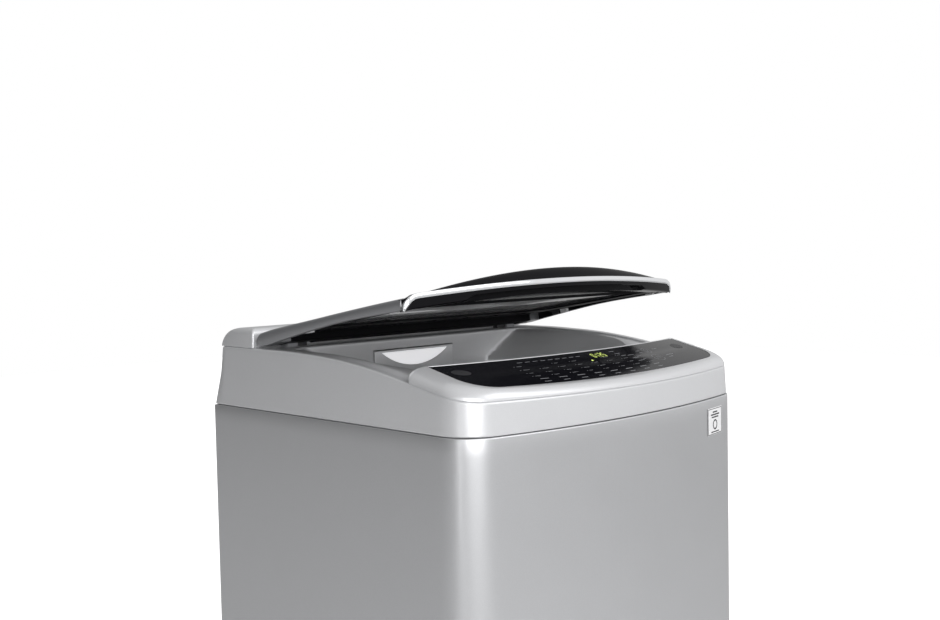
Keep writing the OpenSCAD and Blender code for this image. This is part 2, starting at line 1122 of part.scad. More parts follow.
module vane(z) {
    translate([0, 6, z])
        rotate([90, 0, 0])
            linear_extrude(height = 12)
                polygon([[30, 0], [pulsator_r - 8, 0], [pulsator_r - 14, 8], [110, 16], [40, 30], [30, 30]]);
}

module pulsator_cap() {
    z = basket_z + 50;
    color(steel)
        rotate_extrude()
            polygon(concat([[0, z], [26, z]], [for (p = arc([0, z - 60], 66, 66, 90, 6)) p]));
}

cabinet();
rear_panel();
rear_panel_screws();
base_frame();
foot_nuts();
suspension_brackets();
suspension_rods();
rod_caps();
spring_cups();
top_cover();
rear_cap();
console_bezel();
control_glass();
control_housing();
display_board();
front_badge();
dispenser_housing();
inlet_valves();
fill_hoses();
power_case();
cord_gland();
drain_outlet();
lid_lock();
hinge_brackets();
lid_dampers();
foot(-foot_x, foot_front);  // foot_front_left
foot(foot_x, foot_front);  // foot_front_right
foot(-foot_x, foot_back);  // foot_rear_left
foot(foot_x, foot_back);  // foot_rear_right
drawer_tray();
drawer_front();
drawer_grip();
siphon_cap();
lid_frame();
lid_inner_frame();
lid_glass();
lid_handle();
lid_trim();
lid_hinge_pins();
lid_bumpers();
lid_striker();
outer_tub();
tub_cover();
bearing_housing();
tub_bearings();
shaft_seal();
stator();
spring_seats();
suspension_springs();
drain_pump();
drain_hose();
basket();
balance_ring();
basket_base();
basket_shaft();
lint_filters();
drive_shaft();
rotor();
pulsator();
pulsator_cap();
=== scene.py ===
"""Looks of the top load washing machine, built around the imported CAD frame."""

import json
import math

import bmesh
import bpy
from mathutils import Matrix, Vector


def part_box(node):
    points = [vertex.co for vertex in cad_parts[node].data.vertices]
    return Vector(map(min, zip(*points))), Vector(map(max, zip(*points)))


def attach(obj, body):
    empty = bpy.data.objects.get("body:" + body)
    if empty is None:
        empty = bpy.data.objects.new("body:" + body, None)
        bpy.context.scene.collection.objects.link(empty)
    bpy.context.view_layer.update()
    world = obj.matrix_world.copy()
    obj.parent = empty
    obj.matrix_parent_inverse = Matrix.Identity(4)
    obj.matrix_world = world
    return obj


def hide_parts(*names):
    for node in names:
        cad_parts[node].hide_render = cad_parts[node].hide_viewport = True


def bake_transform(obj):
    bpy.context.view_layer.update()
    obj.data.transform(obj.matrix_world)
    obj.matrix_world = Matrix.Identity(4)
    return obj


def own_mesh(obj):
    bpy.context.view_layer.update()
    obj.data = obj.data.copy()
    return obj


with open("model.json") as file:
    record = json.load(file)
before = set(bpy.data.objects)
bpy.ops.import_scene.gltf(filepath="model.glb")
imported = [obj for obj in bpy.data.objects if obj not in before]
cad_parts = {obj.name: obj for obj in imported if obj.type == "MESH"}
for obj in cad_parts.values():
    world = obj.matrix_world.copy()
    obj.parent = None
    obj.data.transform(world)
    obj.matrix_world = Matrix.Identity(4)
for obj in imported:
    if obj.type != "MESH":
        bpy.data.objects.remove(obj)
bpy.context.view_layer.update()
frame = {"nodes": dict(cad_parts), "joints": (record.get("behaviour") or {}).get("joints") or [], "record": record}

# ---------------------------------------------------------------- driving sizes
CAB_LO, CAB_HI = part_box("cabinet")
CAP_LO, CAP_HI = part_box("rear_cap")
HALF_W = CAB_HI.x
FRONT_Y = CAB_LO.y
REAR_Y = CAB_HI.y
SEAM_Z = CAB_HI.z
DECK_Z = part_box("top_cover")[1].z
CAP_TOP = CAP_HI.z
BOW = 0.038
CORNER_R = 0.060
REAR_R = 0.003
COVER_INSET = 0.002
SIDE_DRAFT = 0.0055
REAR_DRAFT = 0.012
MOUTH_X = 0.262
MOUTH_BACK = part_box("drawer_front")[1].y - 0.002
BOWL_R = 0.206
BOWL_Z = 0.881
BOWL_FLARE = 1.35
CONSOLE_Y = -0.188
CONSOLE_R = 1.180
GLASS_REAR_Z = 0.922
GLASS_FRONT = -0.270
GLASS_BOW = 0.022
GLASS_CORNER = 0.045
GLASS_DEPTH = 0.084
HINGE = next(j for j in frame["joints"] if j["name"] == "lid_hinge")
PIVOT = Vector(HINGE["pos_m"])
LID_REST = math.radians(8.9)
LID_X = 0.286
LID_REACH = 0.355
LID_BOW = 0.033
LID_CORNER = 0.012


# ---------------------------------------------------------------- outlines
def arc(cx, cy, r, a0, a1, n):
    """Points of an arc, in degrees, both ends included."""
    return [(cx + r * math.cos(math.radians(a0 + (a1 - a0) * i / n)),
             cy + r * math.sin(math.radians(a0 + (a1 - a0) * i / n))) for i in range(n + 1)]


def front_curve(half, front, bow, fr):
    """A bowed front and its tangent corner arcs: radius, centre Y, corner centre X and Y, half angle."""
    big = (half * half + bow * bow) / (2 * bow)
    cy = front + big
    cx = half - fr
    yc = cy - math.sqrt((big - fr) ** 2 - cx * cx)
    return big, cy, cx, yc, math.degrees(math.asin(cx / (big - fr)))


def bowed(half, front, bow, fr, rear, rr, inset=0.0):
    """A plan with straight sides and a front that bows forward, counter-clockwise from the front left."""
    big, cy, cx, yc, s = front_curve(half, front, bow, fr)
    r1 = max(fr - inset, 0.001)
    r2 = max(rr - inset, 0.001)
    bx, by = half - inset - r2, rear - inset - r2
    pts = arc(0, cy, big - inset, 270 - s, 270 + s, 40)[:-1]
    pts += arc(cx, yc, r1, 270 + s, 360, 16)
    pts += spread((cx + r1, yc), (bx + r2, by), 24)
    pts += arc(bx, by, r2, 0, 90, 8)
    pts += spread((bx, by + r2), (-bx, by + r2), 40)
    pts += arc(-bx, by, r2, 90, 180, 8)
    pts += spread((-bx - r2, by), (-cx - r1, yc), 24)
    pts += arc(-cx, yc, r1, 180, 270 - s, 16)[:-1]
    return pts


def spread(a, b, n):
    """Points strictly between a and b, crowded towards both ends."""
    out = []
    for i in range(1, n):
        t = 0.5 - 0.5 * math.cos(math.pi * i / n)
        out.append((a[0] + (b[0] - a[0]) * t, a[1] + (b[1] - a[1]) * t))
    return out


def plan(inset=0.0, rear=REAR_Y):
    return bowed(HALF_W, FRONT_Y, BOW, CORNER_R, rear, REAR_R, inset)


def ray_hit(shape, origin, direction):
    """How far along a ray from inside it meets a closed outline."""
    ox, oy = origin
    dx, dy = direction
    best = None
    for i in range(len(shape)):
        x0, y0 = shape[i - 1]
        ex, ey = shape[i][0] - x0, shape[i][1] - y0
        den = dx * ey - dy * ex
        if abs(den) < 1e-12:
            continue
        t = ((x0 - ox) * ey - (y0 - oy) * ex) / den
        u = ((x0 - ox) * dy - (y0 - oy) * dx) / den
        if -1e-9 <= u <= 1 + 1e-9 and t > 0 and (best is None or t < best):
            best = t
    return best


def smooth(t):
    t = min(max(t, 0.0), 1.0)
    return t * t * (3 - 2 * t)


def lerp(a, b, t):
    return a + (b - a) * t


def table(x, points):
    """Reads a height from (position, height) points that run upwards in position."""
    if x <= points[0][0]:
        return points[0][1]
    for (x0, y0), (x1, y1) in zip(points, points[1:]):
        if x <= x1:
            return lerp(y0, y1, (x - x0) / (x1 - x0))
    return points[-1][1]


# ---------------------------------------------------------------- mesh helpers
def new_mesh(name, verts, faces, sharp=35.0):
    mesh = bpy.data.meshes.new(name)
    mesh.from_pydata([tuple(v) for v in verts], [], faces)
    mesh.validate()
    bm = bmesh.new()
    bm.from_mesh(mesh)
    bmesh.ops.remove_doubles(bm, verts=bm.verts, dist=1e-6)
    bmesh.ops.recalc_face_normals(bm, faces=bm.faces)
    bm.to_mesh(mesh)
    bm.free()
    mesh.shade_smooth()
    mesh.set_sharp_from_angle(angle=math.radians(sharp))
    obj = bpy.data.objects.new(name, mesh)
    bpy.context.scene.collection.objects.link(obj)
    return obj


def loft_data(rings, closed=True, caps=False, loop=False):
    """Vertices and faces of a skin over rings that all have the same number of points."""
    n = len(rings[0])
    verts = [p for ring in rings for p in ring]
    faces = []
    last = len(rings) if loop else len(rings) - 1
    for j in range(last):
        k = (j + 1) % len(rings)
        for i in range(n if closed else n - 1):
            i2 = (i + 1) % n
            faces.append((j * n + i, j * n + i2, k * n + i2, k * n + i))
    if caps:
        faces.append(tuple(range(n))[::-1])
        faces.append(tuple(range((len(rings) - 1) * n, len(rings) * n)))
    return verts, faces


def loft(name, rings, sharp=35.0, **how):
    verts, faces = loft_data(rings, **how)
    return new_mesh(name, verts, faces, sharp)


def merged(name, parts, sharp=35.0):
    """One mesh from several (vertices, faces) pairs."""
    verts, faces = [], []
    for v, f in parts:
        base = len(verts)
        verts += list(v)
        faces += [tuple(i + base for i in face) for face in f]
    return new_mesh(name, verts, faces, sharp)


def prism_data(outline, z0, z1, edge, steps=2):
    """A flat-topped prism whose top and bottom edges are rounded by edge."""
    def ring(z, inset):
        return [tuple(p + (z,)) for p in inset_outline(outline, inset)]

    turns = [math.radians(90 * i / steps) for i in range(steps + 1)]
    low = [ring(z0 + edge * (1 - math.cos(a)), edge * (1 - math.sin(a))) for a in turns]
    high = [ring(z1 - edge * (1 - math.cos(a)), edge * (1 - math.sin(a))) for a in reversed(turns)]
    rings = low + high
    return loft_data(rings, caps=True)


def inset_outline(outline, inset):
    """The outline moved inwards by inset along its corners' bisectors."""
    if inset == 0:
        return [tuple(p) for p in outline]
    n = len(outline)
    out = []
    for i in range(n):
        a, b, c = Vector(outline[i - 1]), Vector(outline[i]), Vector(outline[(i + 1) % n])
        d1 = (b - a).normalized()
        d2 = (c - b).normalized()
        n1 = Vector((-d1.y, d1.x))
        n2 = Vector((-d2.y, d2.x))
        m = n1 + n2
        if m.length < 1e-9:
            m = n1
        m.normalize()
        k = inset / max(m.dot(n1), 0.35)
        out.append((b.x + m.x * k, b.y + m.y * k))
    return out


def tube_data(path, radius, sides):
    """A round tube along a path of points."""
    pts = [Vector(p) for p in path]
    rings = []
    up = Vector((0, 0, 1))
    for i, p in enumerate(pts):
        d = (pts[min(i + 1, len(pts) - 1)] - pts[max(i - 1, 0)]).normalized()
        side = d.cross(up)
        if side.length < 1e-4:
            side = d.cross(Vector((1, 0, 0)))
        side.normalize()
        over = side.cross(d).normalized()
        rings.append([tuple(p + side * (radius * math.cos(2 * math.pi * k / sides))
                            + over * (radius * math.sin(2 * math.pi * k / sides))) for k in range(sides)])
    return loft_data(rings, caps=True)


def box_data(lo, hi, edge=0.0005):
    """A box with rounded upright edges and rounded rims."""
    r = max(edge * 1.5, 0.0003)
    x0, y0, z0 = lo
    x1, y1, z1 = hi
    outline = (arc(x1 - r, y1 - r, r, 0, 90, 3) + arc(x0 + r, y1 - r, r, 90, 180, 3)
               + arc(x0 + r, y0 + r, r, 180, 270, 3) + arc(x1 - r, y0 + r, r, 270, 360, 3))
    return prism_data(outline, z0, z1, edge, 2)


def dress(obj, body, slot, *replaced):
    obj.data.materials.append(MATERIALS[slot])
    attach(obj, body)
    if replaced:
        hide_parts(*replaced)
    return obj


# ---------------------------------------------------------------- materials
BROAD_SCALE = 14.0
FLAKE_SCALE = 2600.0


def surface(name, color, rough, metal=0.0, grain=900.0, bump=0.15, mottle=0.04, rough_span=0.08,
            streak=(1, 1, 1), wear=0.0, coat=0.0, alpha=1.0, transmission=0.0, emission=0.0, flake=0.0,
            shine=0.5):
    """A procedural finish: colour mottling, uneven roughness, fine grain as bump and lighter worn edges."""
    mat = bpy.data.materials.new(name)
    mat.use_nodes = True
    nodes, links = mat.node_tree.nodes, mat.node_tree.links
    bsdf = nodes["Principled BSDF"]
    coord = nodes.new("ShaderNodeTexCoord")
    mapping = nodes.new("ShaderNodeMapping")
    mapping.inputs["Scale"].default_value = streak
    links.new(coord.outputs["Object"], mapping.inputs["Vector"])

    def pattern(kind, scale):
        """A texture in the piece's own space."""
        texture = nodes.new("ShaderNodeTex" + kind)
        texture.inputs["Scale"].default_value = scale
        links.new(mapping.outputs["Vector"], texture.inputs["Vector"])
        return texture

    def ranged(source, low, high):
        """Maps a value from 0 to 1 onto low to high."""
        spread_out = nodes.new("ShaderNodeMapRange")
        spread_out.inputs["To Min"].default_value = low
        spread_out.inputs["To Max"].default_value = high
        links.new(source, spread_out.inputs["Value"])
        return spread_out

    def multiplied(colour, factor):
        """The colour times a value near one."""
        blend = nodes.new("ShaderNodeMix")
        blend.data_type = "RGBA"
        blend.blend_type = "MULTIPLY"
        blend.inputs["Factor"].default_value = 1.0
        if isinstance(colour, tuple):
            blend.inputs["A"].default_value = (*colour, 1)
        else:
            links.new(colour, blend.inputs["A"])
        links.new(factor, blend.inputs["B"])
        return blend.outputs["Result"]

    broad = pattern("Noise", BROAD_SCALE)
    broad.inputs["Detail"].default_value = 3.0
    fine = pattern("Noise", grain)
    fine.inputs["Detail"].default_value = 2.0
    tone = ranged(broad.outputs["Fac"], 1 - mottle, 1 + mottle)
    colour = multiplied(color, tone.outputs["Result"])
    if flake:
        sparkle = ranged(pattern("Voronoi", FLAKE_SCALE).outputs["Color"], 1 - flake, 1 + flake)
        colour = multiplied(colour, sparkle.outputs["Result"])
    if wear:
        geometry = nodes.new("ShaderNodeNewGeometry")
        edge = ranged(geometry.outputs["Pointiness"], 0.0, wear)
        edge.inputs["From Min"].default_value = 0.52
        edge.inputs["From Max"].default_value = 0.62
        worn = nodes.new("ShaderNodeMix")
        worn.data_type = "RGBA"
        worn.inputs["B"].default_value = (*[min(c * 1.5 + 0.05, 1) for c in color], 1)
        links.new(edge.outputs["Result"], worn.inputs["Factor"])
        links.new(colour, worn.inputs["A"])
        colour = worn.outputs["Result"]
    links.new(colour, bsdf.inputs["Base Color"])
    gloss = ranged(broad.outputs["Fac"], max(rough - rough_span, 0.02), min(rough + rough_span, 1.0))
    links.new(gloss.outputs["Result"], bsdf.inputs["Roughness"])
    if bump:
        relief = nodes.new("ShaderNodeBump")
        relief.inputs["Strength"].default_value = bump
        relief.inputs["Distance"].default_value = 0.0002
        links.new(fine.outputs["Fac"], relief.inputs["Height"])
        links.new(relief.outputs["Normal"], bsdf.inputs["Normal"])
    bsdf.inputs["Metallic"].default_value = metal
    bsdf.inputs["Specular IOR Level"].default_value = shine
    bsdf.inputs["Coat Weight"].default_value = coat
    bsdf.inputs["Coat Roughness"].default_value = 0.08
    bsdf.inputs["Alpha"].default_value = alpha
    bsdf.inputs["Transmission Weight"].default_value = transmission
    # Emission is real light for the LED digits, and painted light (a glow with no lamp behind it) for grip_white
    if emission:
        bsdf.inputs["Emission Color"].default_value = (*color, 1)
        bsdf.inputs["Emission Strength"].default_value = emission
    return mat


FINISHES = {
    "silver_paint": dict(color=(0.6, 0.605, 0.62), rough=0.34, metal=0.85, grain=700, bump=0.05,
        mottle=0.015, rough_span=0.03, wear=0.1, coat=0.35, flake=0.05),
    "silver_plastic": dict(color=(0.62, 0.625, 0.64), rough=0.34, metal=0.4, grain=1100, bump=0.05,
        mottle=0.015, rough_span=0.04, wear=0.08, coat=0.2, flake=0.05),
    "zinc_sheet": dict(color=(0.52, 0.53, 0.55), rough=0.38, metal=0.9, grain=160, bump=0.1, mottle=0.14,
        rough_span=0.12, streak=(1, 1, 0.4), wear=0.2),
    "zinc_steel": dict(color=(0.6, 0.6, 0.57), rough=0.32, metal=0.95, grain=500, bump=0.1, mottle=0.08,
        rough_span=0.1, wear=0.3),
    "black_plastic": dict(color=(0.022, 0.022, 0.025), rough=0.5, grain=1400, bump=0.3, mottle=0.15,
        rough_span=0.1, wear=0.12),
    "bright_steel": dict(color=(0.66, 0.67, 0.69), rough=0.22, metal=1.0, grain=700, bump=0.08, mottle=0.05,
        streak=(6, 6, 0.4), wear=0.15),
    "white_plastic": dict(color=(0.72, 0.72, 0.7), rough=0.42, grain=1200, mottle=0.03, rough_span=0.06,
        wear=0.05),
    "black_glass": dict(color=(0.006, 0.006, 0.008), rough=0.12, grain=60, bump=0.0, mottle=0.1,
        rough_span=0.03, shine=0.14),
    "circuit_board": dict(color=(0.02, 0.13, 0.05), rough=0.35, metal=0.1, grain=300, bump=0.3, mottle=0.2,
        rough_span=0.1),
    "badge_foil": dict(color=(0.86, 0.86, 0.87), rough=0.3, metal=0.2, grain=500, bump=0.05, mottle=0.03,
        rough_span=0.05),
    "grey_plastic": dict(color=(0.26, 0.265, 0.28), rough=0.42, metal=0.1, grain=1200, rough_span=0.06,
        wear=0.08),
    "hose_rubber": dict(color=(0.03, 0.03, 0.032), rough=0.6, grain=800, bump=0.35, mottle=0.2,
        rough_span=0.12, wear=0.15),
    "foot_rubber": dict(color=(0.025, 0.025, 0.027), rough=0.65, grain=700, bump=0.4, mottle=0.2,
        rough_span=0.1, wear=0.15),
    # grip_white's emission is painted light: the white grip glows to look brighter than the light reaching it
    # makes it
    "grip_white": dict(color=(0.86, 0.86, 0.88), rough=0.28, bump=0.04, mottle=0.02, rough_span=0.04,
        emission=0.55),
    "blue_plastic": dict(color=(0.08, 0.24, 0.52), rough=0.35, bump=0.1, mottle=0.05, rough_span=0.06),
    "lid_grey": dict(color=(0.26, 0.263, 0.275), rough=0.34, metal=0.6, grain=1000, bump=0.05, mottle=0.02,
        rough_span=0.04, wear=0.1, coat=0.25, flake=0.06),
    "lid_black": dict(color=(0.004, 0.004, 0.005), rough=0.4, bump=0.02, mottle=0.15, shine=0.06),
    "smoked_glass": dict(color=(0.1, 0.105, 0.11), rough=0.06, grain=30, bump=0.0, mottle=0.03,
        rough_span=0.03, coat=0.2, alpha=0.82, transmission=0.25, shine=0.3),
    "gloss_black": dict(color=(0.006, 0.006, 0.007), rough=0.1, grain=40, bump=0.0, mottle=0.1,
        rough_span=0.03, shine=0.06),
    "chrome_trim": dict(color=(0.86, 0.87, 0.89), rough=0.07, metal=1.0, grain=300, bump=0.0, mottle=0.02,
        rough_span=0.03),
    "bumper_rubber": dict(color=(0.62, 0.62, 0.63), rough=0.5, bump=0.2, mottle=0.05),
    "tub_plastic": dict(color=(0.62, 0.63, 0.62), rough=0.48, grain=700, bump=0.25, mottle=0.05, wear=0.06),
    "cast_aluminium": dict(color=(0.52, 0.53, 0.54), rough=0.48, metal=0.9, grain=320, bump=0.6,
        mottle=0.08, rough_span=0.1, wear=0.25),
    "copper_winding": dict(color=(0.5, 0.22, 0.09), rough=0.34, metal=0.9, grain=260, bump=0.4, mottle=0.12,
        rough_span=0.1, streak=(1, 1, 9)),
    "spring_steel": dict(color=(0.2, 0.205, 0.215), rough=0.34, metal=0.9, grain=600, mottle=0.12,
        rough_span=0.1, wear=0.25),
    "pump_plastic": dict(color=(0.07, 0.07, 0.078), rough=0.5, bump=0.3, mottle=0.15, rough_span=0.1,
        wear=0.12),
    "basket_steel": dict(color=(0.66, 0.67, 0.69), rough=0.24, metal=1.0, grain=500, bump=0.12, mottle=0.05,
        streak=(0.4, 0.4, 9), wear=0.2),
    "ring_plastic": dict(color=(0.56, 0.58, 0.61), rough=0.34, metal=0.05, grain=1000, bump=0.08,
        mottle=0.03, rough_span=0.05, wear=0.05, coat=0.1),
}
MATERIALS = {name: surface(name, **finish) for name, finish in FINISHES.items()}
LED = surface("led_digits", (0.70, 0.85, 0.20), 0.4, grain=300, bump=0.0, mottle=0.02, rough_span=0.02,
              emission=0.9)


# ---------------------------------------------------------------- cabinet
def build_cabinet():
    """The painted wrap: front and sides in one sheet, folded in at the top, with stiles at the rear."""
    lo_z, hi_z = CAB_LO.z, SEAM_Z
    sheet, lip, stile, fold = 0.0012, 0.018, 0.030, 0.0018
    hem = 0.0006
    outer = plan()
    inner = plan(sheet)
    open_back = {i for i, p in enumerate(outer) if p[1] > REAR_Y - 1e-5 and abs(p[0]) < HALF_W - stile}
    start = max(open_back) + 1
    order = [(start + k) % len(outer) for k in range(len(outer))]
    rings = []
    for i in order:
        if i in open_back:
            continue
        o, n = Vector(outer[i]), Vector(inner[i])
        inward = (n - o).normalized()
        ring = [(o.x, o.y, z) for z in (lo_z + hem, lerp(lo_z, hi_z, 0.03), lerp(lo_z, hi_z, 0.97))]
        for a in range(0, 91, 18):
            c = o + inward * fold * (1 - math.cos(math.radians(a)))
            ring.append((c.x, c.y, hi_z - fold + fold * math.sin(math.radians(a))))
        back = o + inward * lip
        ring.append((back.x, back.y, hi_z))
        ring.append((back.x, back.y, hi_z - sheet))
        ring.append((n.x, n.y, hi_z - sheet - 0.0008))
        ring.append((n.x, n.y, lo_z + hem))
        ring.append(((o.x + n.x) / 2, (o.y + n.y) / 2, lo_z))
        rings.append(ring)
    parts = [loft_data(rings, closed=True, caps=True)]
    reach = HALF_W - stile + 0.002
    for z0, z1 in ((lo_z, 0.070), (hi_z - stile, hi_z)):
        parts.append(box_data((-reach, REAR_Y - sheet, z0), (reach, REAR_Y, z1), 0.0003))
    body = merged("cabinet_wrap", parts, 30)
    dress(body, "washer", "silver_paint", "cabinet")


# ---------------------------------------------------------------- top cover
RIM = [(-0.305, 0.882), (-0.243, 0.8865), (-0.225, 0.890), (-0.152, 0.904), (-0.090, 0.9155),
       (-0.031, 0.9235), (0.016, 0.9275), (0.063, 0.9295), (0.100, 0.931), (0.300, 0.931)]
COVER_EYE = (0.0, -0.025)
RIDGE = 0.003
RIM_ROLL = 0.0035
MOUTH_LIP = 0.003
BOWL_BLEND = 0.004
VALVE_WINDOW = (0.138, 0.258, 0.868, 0.912)
BEVEL = [(0.30, 0.0), (0.44, 0.10), (0.62, 0.85), (0.70, 1.0), (0.84, 1.0)]


def rim_z(y):
    """Height of the cover's side rim, eased between the points that fix it."""
    near = [table(y + d, RIM) for d in (-0.02, -0.01, 0, 0.01, 0.02)]
    return sum(near) / len(near)


def ridge_z(y):
    """Height of the low ridge round the mouth, which fades out towards the hinge."""
    return RIDGE * smooth((0.10 - y) / 0.22)


def drafted(low, high, z):
    """A point of the skirt's leaning side, between its foot and its top outline."""
    t = (z - (SEAM_Z + 0.002)) / (CAP_TOP - 0.001 - (SEAM_Z + 0.002))
    return lerp(low[0], high[0], t), lerp(low[1], high[1], t)


def mouth(inset=0.0):
    return bowed(MOUTH_X, CONSOLE_Y - 0.003, 0.029, 0.020, MOUTH_BACK, 0.036, inset)


def cover_rays(outlines, kept_x):
    """Directions from the middle of the mouth through every point of the outlines and the kept places."""
    def angle(x, y):
        return round(math.atan2(y - COVER_EYE[1], x - COVER_EYE[0]), 5)

    kept = {angle(x, MOUTH_BACK) for x in kept_x}
    angles = sorted({angle(*p) for outline in outlines for p in outline} | kept)
    thin = [angles[0]]
    for a in angles[1:]:
        if a - thin[-1] > 0.004 or a in kept:
            thin.append(a)
    return [(math.cos(a), math.sin(a)) for a in thin]


def skirt_column(p0, p1, out, top):
    """The skirt's hidden foot, its side up to the rim, and the rolled rim."""
    column = []
    for inward, z in ((0.004, SEAM_Z + 0.0012), (0.0008, SEAM_Z + 0.0010)):
        base = Vector(p0) + out * inward
        column.append((base.x, base.y, z))
    levels = [0.8450, 0.8520, 0.8600, VALVE_WINDOW[2], 0.8760, 0.8860, 0.8960, 0.9040]
    levels += [VALVE_WINDOW[3], 0.9200]
    heights = [min(z, top - RIM_ROLL - 0.0004 * (len(levels) - k)) for k, z in enumerate(levels)]
    for z in [SEAM_Z + 0.0020] + heights:
        column.append(drafted(p0, p1, z) + (z,))
    edge = Vector(drafted(p0, p1, top - RIM_ROLL))
    for a in (0, 22, 45, 68, 90):
        s, c = math.sin(math.radians(a)), math.cos(math.radians(a))
        q = edge + out * RIM_ROLL * (1 - c)
        column.append((q.x, q.y, top - RIM_ROLL + RIM_ROLL * s))
    return column, edge + out * RIM_ROLL


def funnel_column(d, reach, floor_top, levels):
    """Down the mouth's wall and the bowl that cuts it, along one direction."""
    column = []
    toward = d[0] * COVER_EYE[0] + d[1] * COVER_EYE[1]
    for k, level in enumerate(levels):
        z = min(level, floor_top - 0.0002 * (k + 1))
        bowl = BOWL_R + max(z - BOWL_Z, 0) * BOWL_FLARE
        far = -toward + math.sqrt(toward * toward - (COVER_EYE[0] ** 2 + COVER_EYE[1] ** 2 - bowl ** 2))
        h = min(max(0.5 + 0.5 * (reach - far) / BOWL_BLEND, 0), 1)
        r = lerp(reach, far, h) - BOWL_BLEND * h * (1 - h)
        column.append((COVER_EYE[0] + d[0] * r, COVER_EYE[1] + d[1] * r, z))
    r = min(reach, far) + 0.004
    column.append((COVER_EYE[0] + d[0] * r, COVER_EYE[1] + d[1] * r, 0.8445))
    return column


def build_top_cover():
    """Skirt, rolled rim, inner bevel and loading funnel as one moulded skin."""
    low, high = plan(COVER_INSET), plan(COVER_INSET + SIDE_DRAFT, REAR_Y - REAR_DRAFT)
    opening = mouth()
    eye = COVER_EYE
    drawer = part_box("drawer_front")
    gap = 0.0015
    window = (drawer[0].x - gap, drawer[1].x + gap, drawer[0].z - gap, drawer[1].z + gap)
    levels = [0.9255, 0.9200, window[3], 0.9090, 0.9020, 0.8950, 0.8880, 0.8810, 0.8740, 0.8680, window[2],
              0.8560, 0.8500, 0.8460]
    columns = []
    for d in cover_rays((low, opening), window[:2]):
        p0, p1 = [tuple(eye[k] + d[k] * ray_hit(shape, eye, d) for k in (0, 1)) for shape in (low, high)]
        reach = ray_hit(opening, eye, d)
        out = Vector((-d[0], -d[1]))
        column, start = skirt_column(p0, p1, out, rim_z(drafted(p0, p1, 0.92)[1]))
        end = Vector((eye[0] + d[0] * (reach + MOUTH_LIP), eye[1] + d[1] * (reach + MOUTH_LIP)))
        for s, h in BEVEL:
            q = start.lerp(end, s)
            column.append((q.x, q.y, rim_z(q.y) + ridge_z(q.y) * h))
        edge_y = eye[1] + d[1] * reach
        crest = rim_z(edge_y) + ridge_z(edge_y)
        for a in (90, 60, 30, 0):
            s, c = math.sin(math.radians(a)), math.cos(math.radians(a))
            r = reach + MOUTH_LIP * (1 - c)
            column.append((eye[0] + d[0] * r, eye[1] + d[1] * r, crest - MOUTH_LIP + MOUTH_LIP * s))
        columns.append(column + funnel_column(d, reach, crest - MOUTH_LIP, levels))
    verts, faces = loft_data(columns, closed=False, loop=True)
    faces = [f for f in faces if not in_window(verts, f, window, VALVE_WINDOW)]
    skin = merged("top_cover_skin", [(verts, faces)], 40)
    dress(skin, "washer", "silver_plastic", "top_cover")
    trim = merged("valve_window", [window_frame(VALVE_WINDOW, REAR_Y - 0.016, 0.006)])
    dress(trim, "washer", "black_plastic")


def in_window(verts, face, window, valve):
    """True for a face inside the drawer's hole in the funnel or the valves' hole in the back."""
    x = sum(verts[i][0] for i in face) / len(face)
    y = sum(verts[i][1] for i in face) / len(face)
    z = sum(verts[i][2] for i in face) / len(face)
    if window[0] < x < window[1] and window[2] < z < window[3] and abs(y - MOUTH_BACK) < 0.002:
        return True
    return valve[0] < x < valve[1] and valve[2] < z < valve[3] and y > REAR_Y - 0.03


def window_frame(window, y, depth):
    """A thin lining round a rectangular hole in a wall that faces along Y."""
    x0, x1, z0, z1 = window
    t = 0.002
    rings = []
    for inset, dy in ((0, -depth), (0, depth), (t, depth), (t, -depth)):
        rings.append([(x0 + inset, y + dy, z0 + inset), (x1 - inset, y + dy, z0 + inset),
                      (x1 - inset, y + dy, z1 - inset), (x0 + inset, y + dy, z1 - inset)])
    return loft_data(rings, closed=True, loop=True)


# ---------------------------------------------------------------- rear cap
def rounded(x0, x1, y0, y1, r_front, r_rear, n=6):
    """A long rectangle with its own radius at the front and the rear corners."""
    pts = [(x0 + r_front, y0)] + spread((x0 + r_front, y0), (x1 - r_front, y0), 24)
    pts += arc(x1 - r_front, y0 + r_front, r_front, 270, 360, n)
    pts += arc(x1 - r_rear, y1 - r_rear, r_rear, 0, 90, n)
    pts += spread((x1 - r_rear, y1), (x0 + r_rear, y1), 24)
    pts += arc(x0 + r_rear, y1 - r_rear, r_rear, 90, 180, n)
    pts += arc(x0 + r_front, y0 + r_front, r_front, 180, 270, n)[:-1]
    return pts


def build_rear_cap():
    """The raised rail behind the lid, deeply rounded at the back and less at the front and sides."""
    z0, z1 = DECK_Z, CAP_TOP
    front = CAP_LO.y
    rings = []

    def ring(z, dx, dfront, drear):
        t = (z - SEAM_Z) / (CAP_TOP - SEAM_Z)
        half = HALF_W - COVER_INSET - SIDE_DRAFT * t - dx
        rear = REAR_Y - COVER_INSET - (REAR_DRAFT + SIDE_DRAFT) * t - drear
        r = max(REAR_R - dx * 0.2, 0.0015)
        return [p + (z,) for p in rounded(-half, half, front + dfront, rear, 0.003, r)]

    rings.append(ring(z0 + 0.0004, 0.003, 0.003, 0.003))
    rings.append(ring(z0 + 0.0004, 0.0006, 0.0004, 0.0006))
    rings.append(ring(z0 + 0.0010, 0.0, 0.0, 0.0))
    height = z1 - z0
    for i in range(1, 17):
        a = math.radians(90 * i / 16)
        z = z0 + 0.001 + (height - 0.001) * math.sin(a)
        up = (z - z0) / height

        def lean(radius, run):
            start = 1 - radius / height
            if up <= start:
                return 0.0
            s = (up - start) / (1 - start)
            return run * (1 - math.sqrt(max(1 - s * s, 0)))

        rings.append(ring(z, lean(0.008, 0.008), lean(0.009, 0.009), lean(0.028, 0.044)))
    centre = (CAP_LO.y + REAR_Y - 0.06) / 2
    top = [(x * 0.96, centre + (y - centre) * 0.5, z1 + 0.0003) for x, y, z in rings[-1]]
    rings.append(top)
    shell = loft("rear_cap_shell", rings, 40, caps=True)
    dress(shell, "washer", "silver_plastic", "rear_cap")


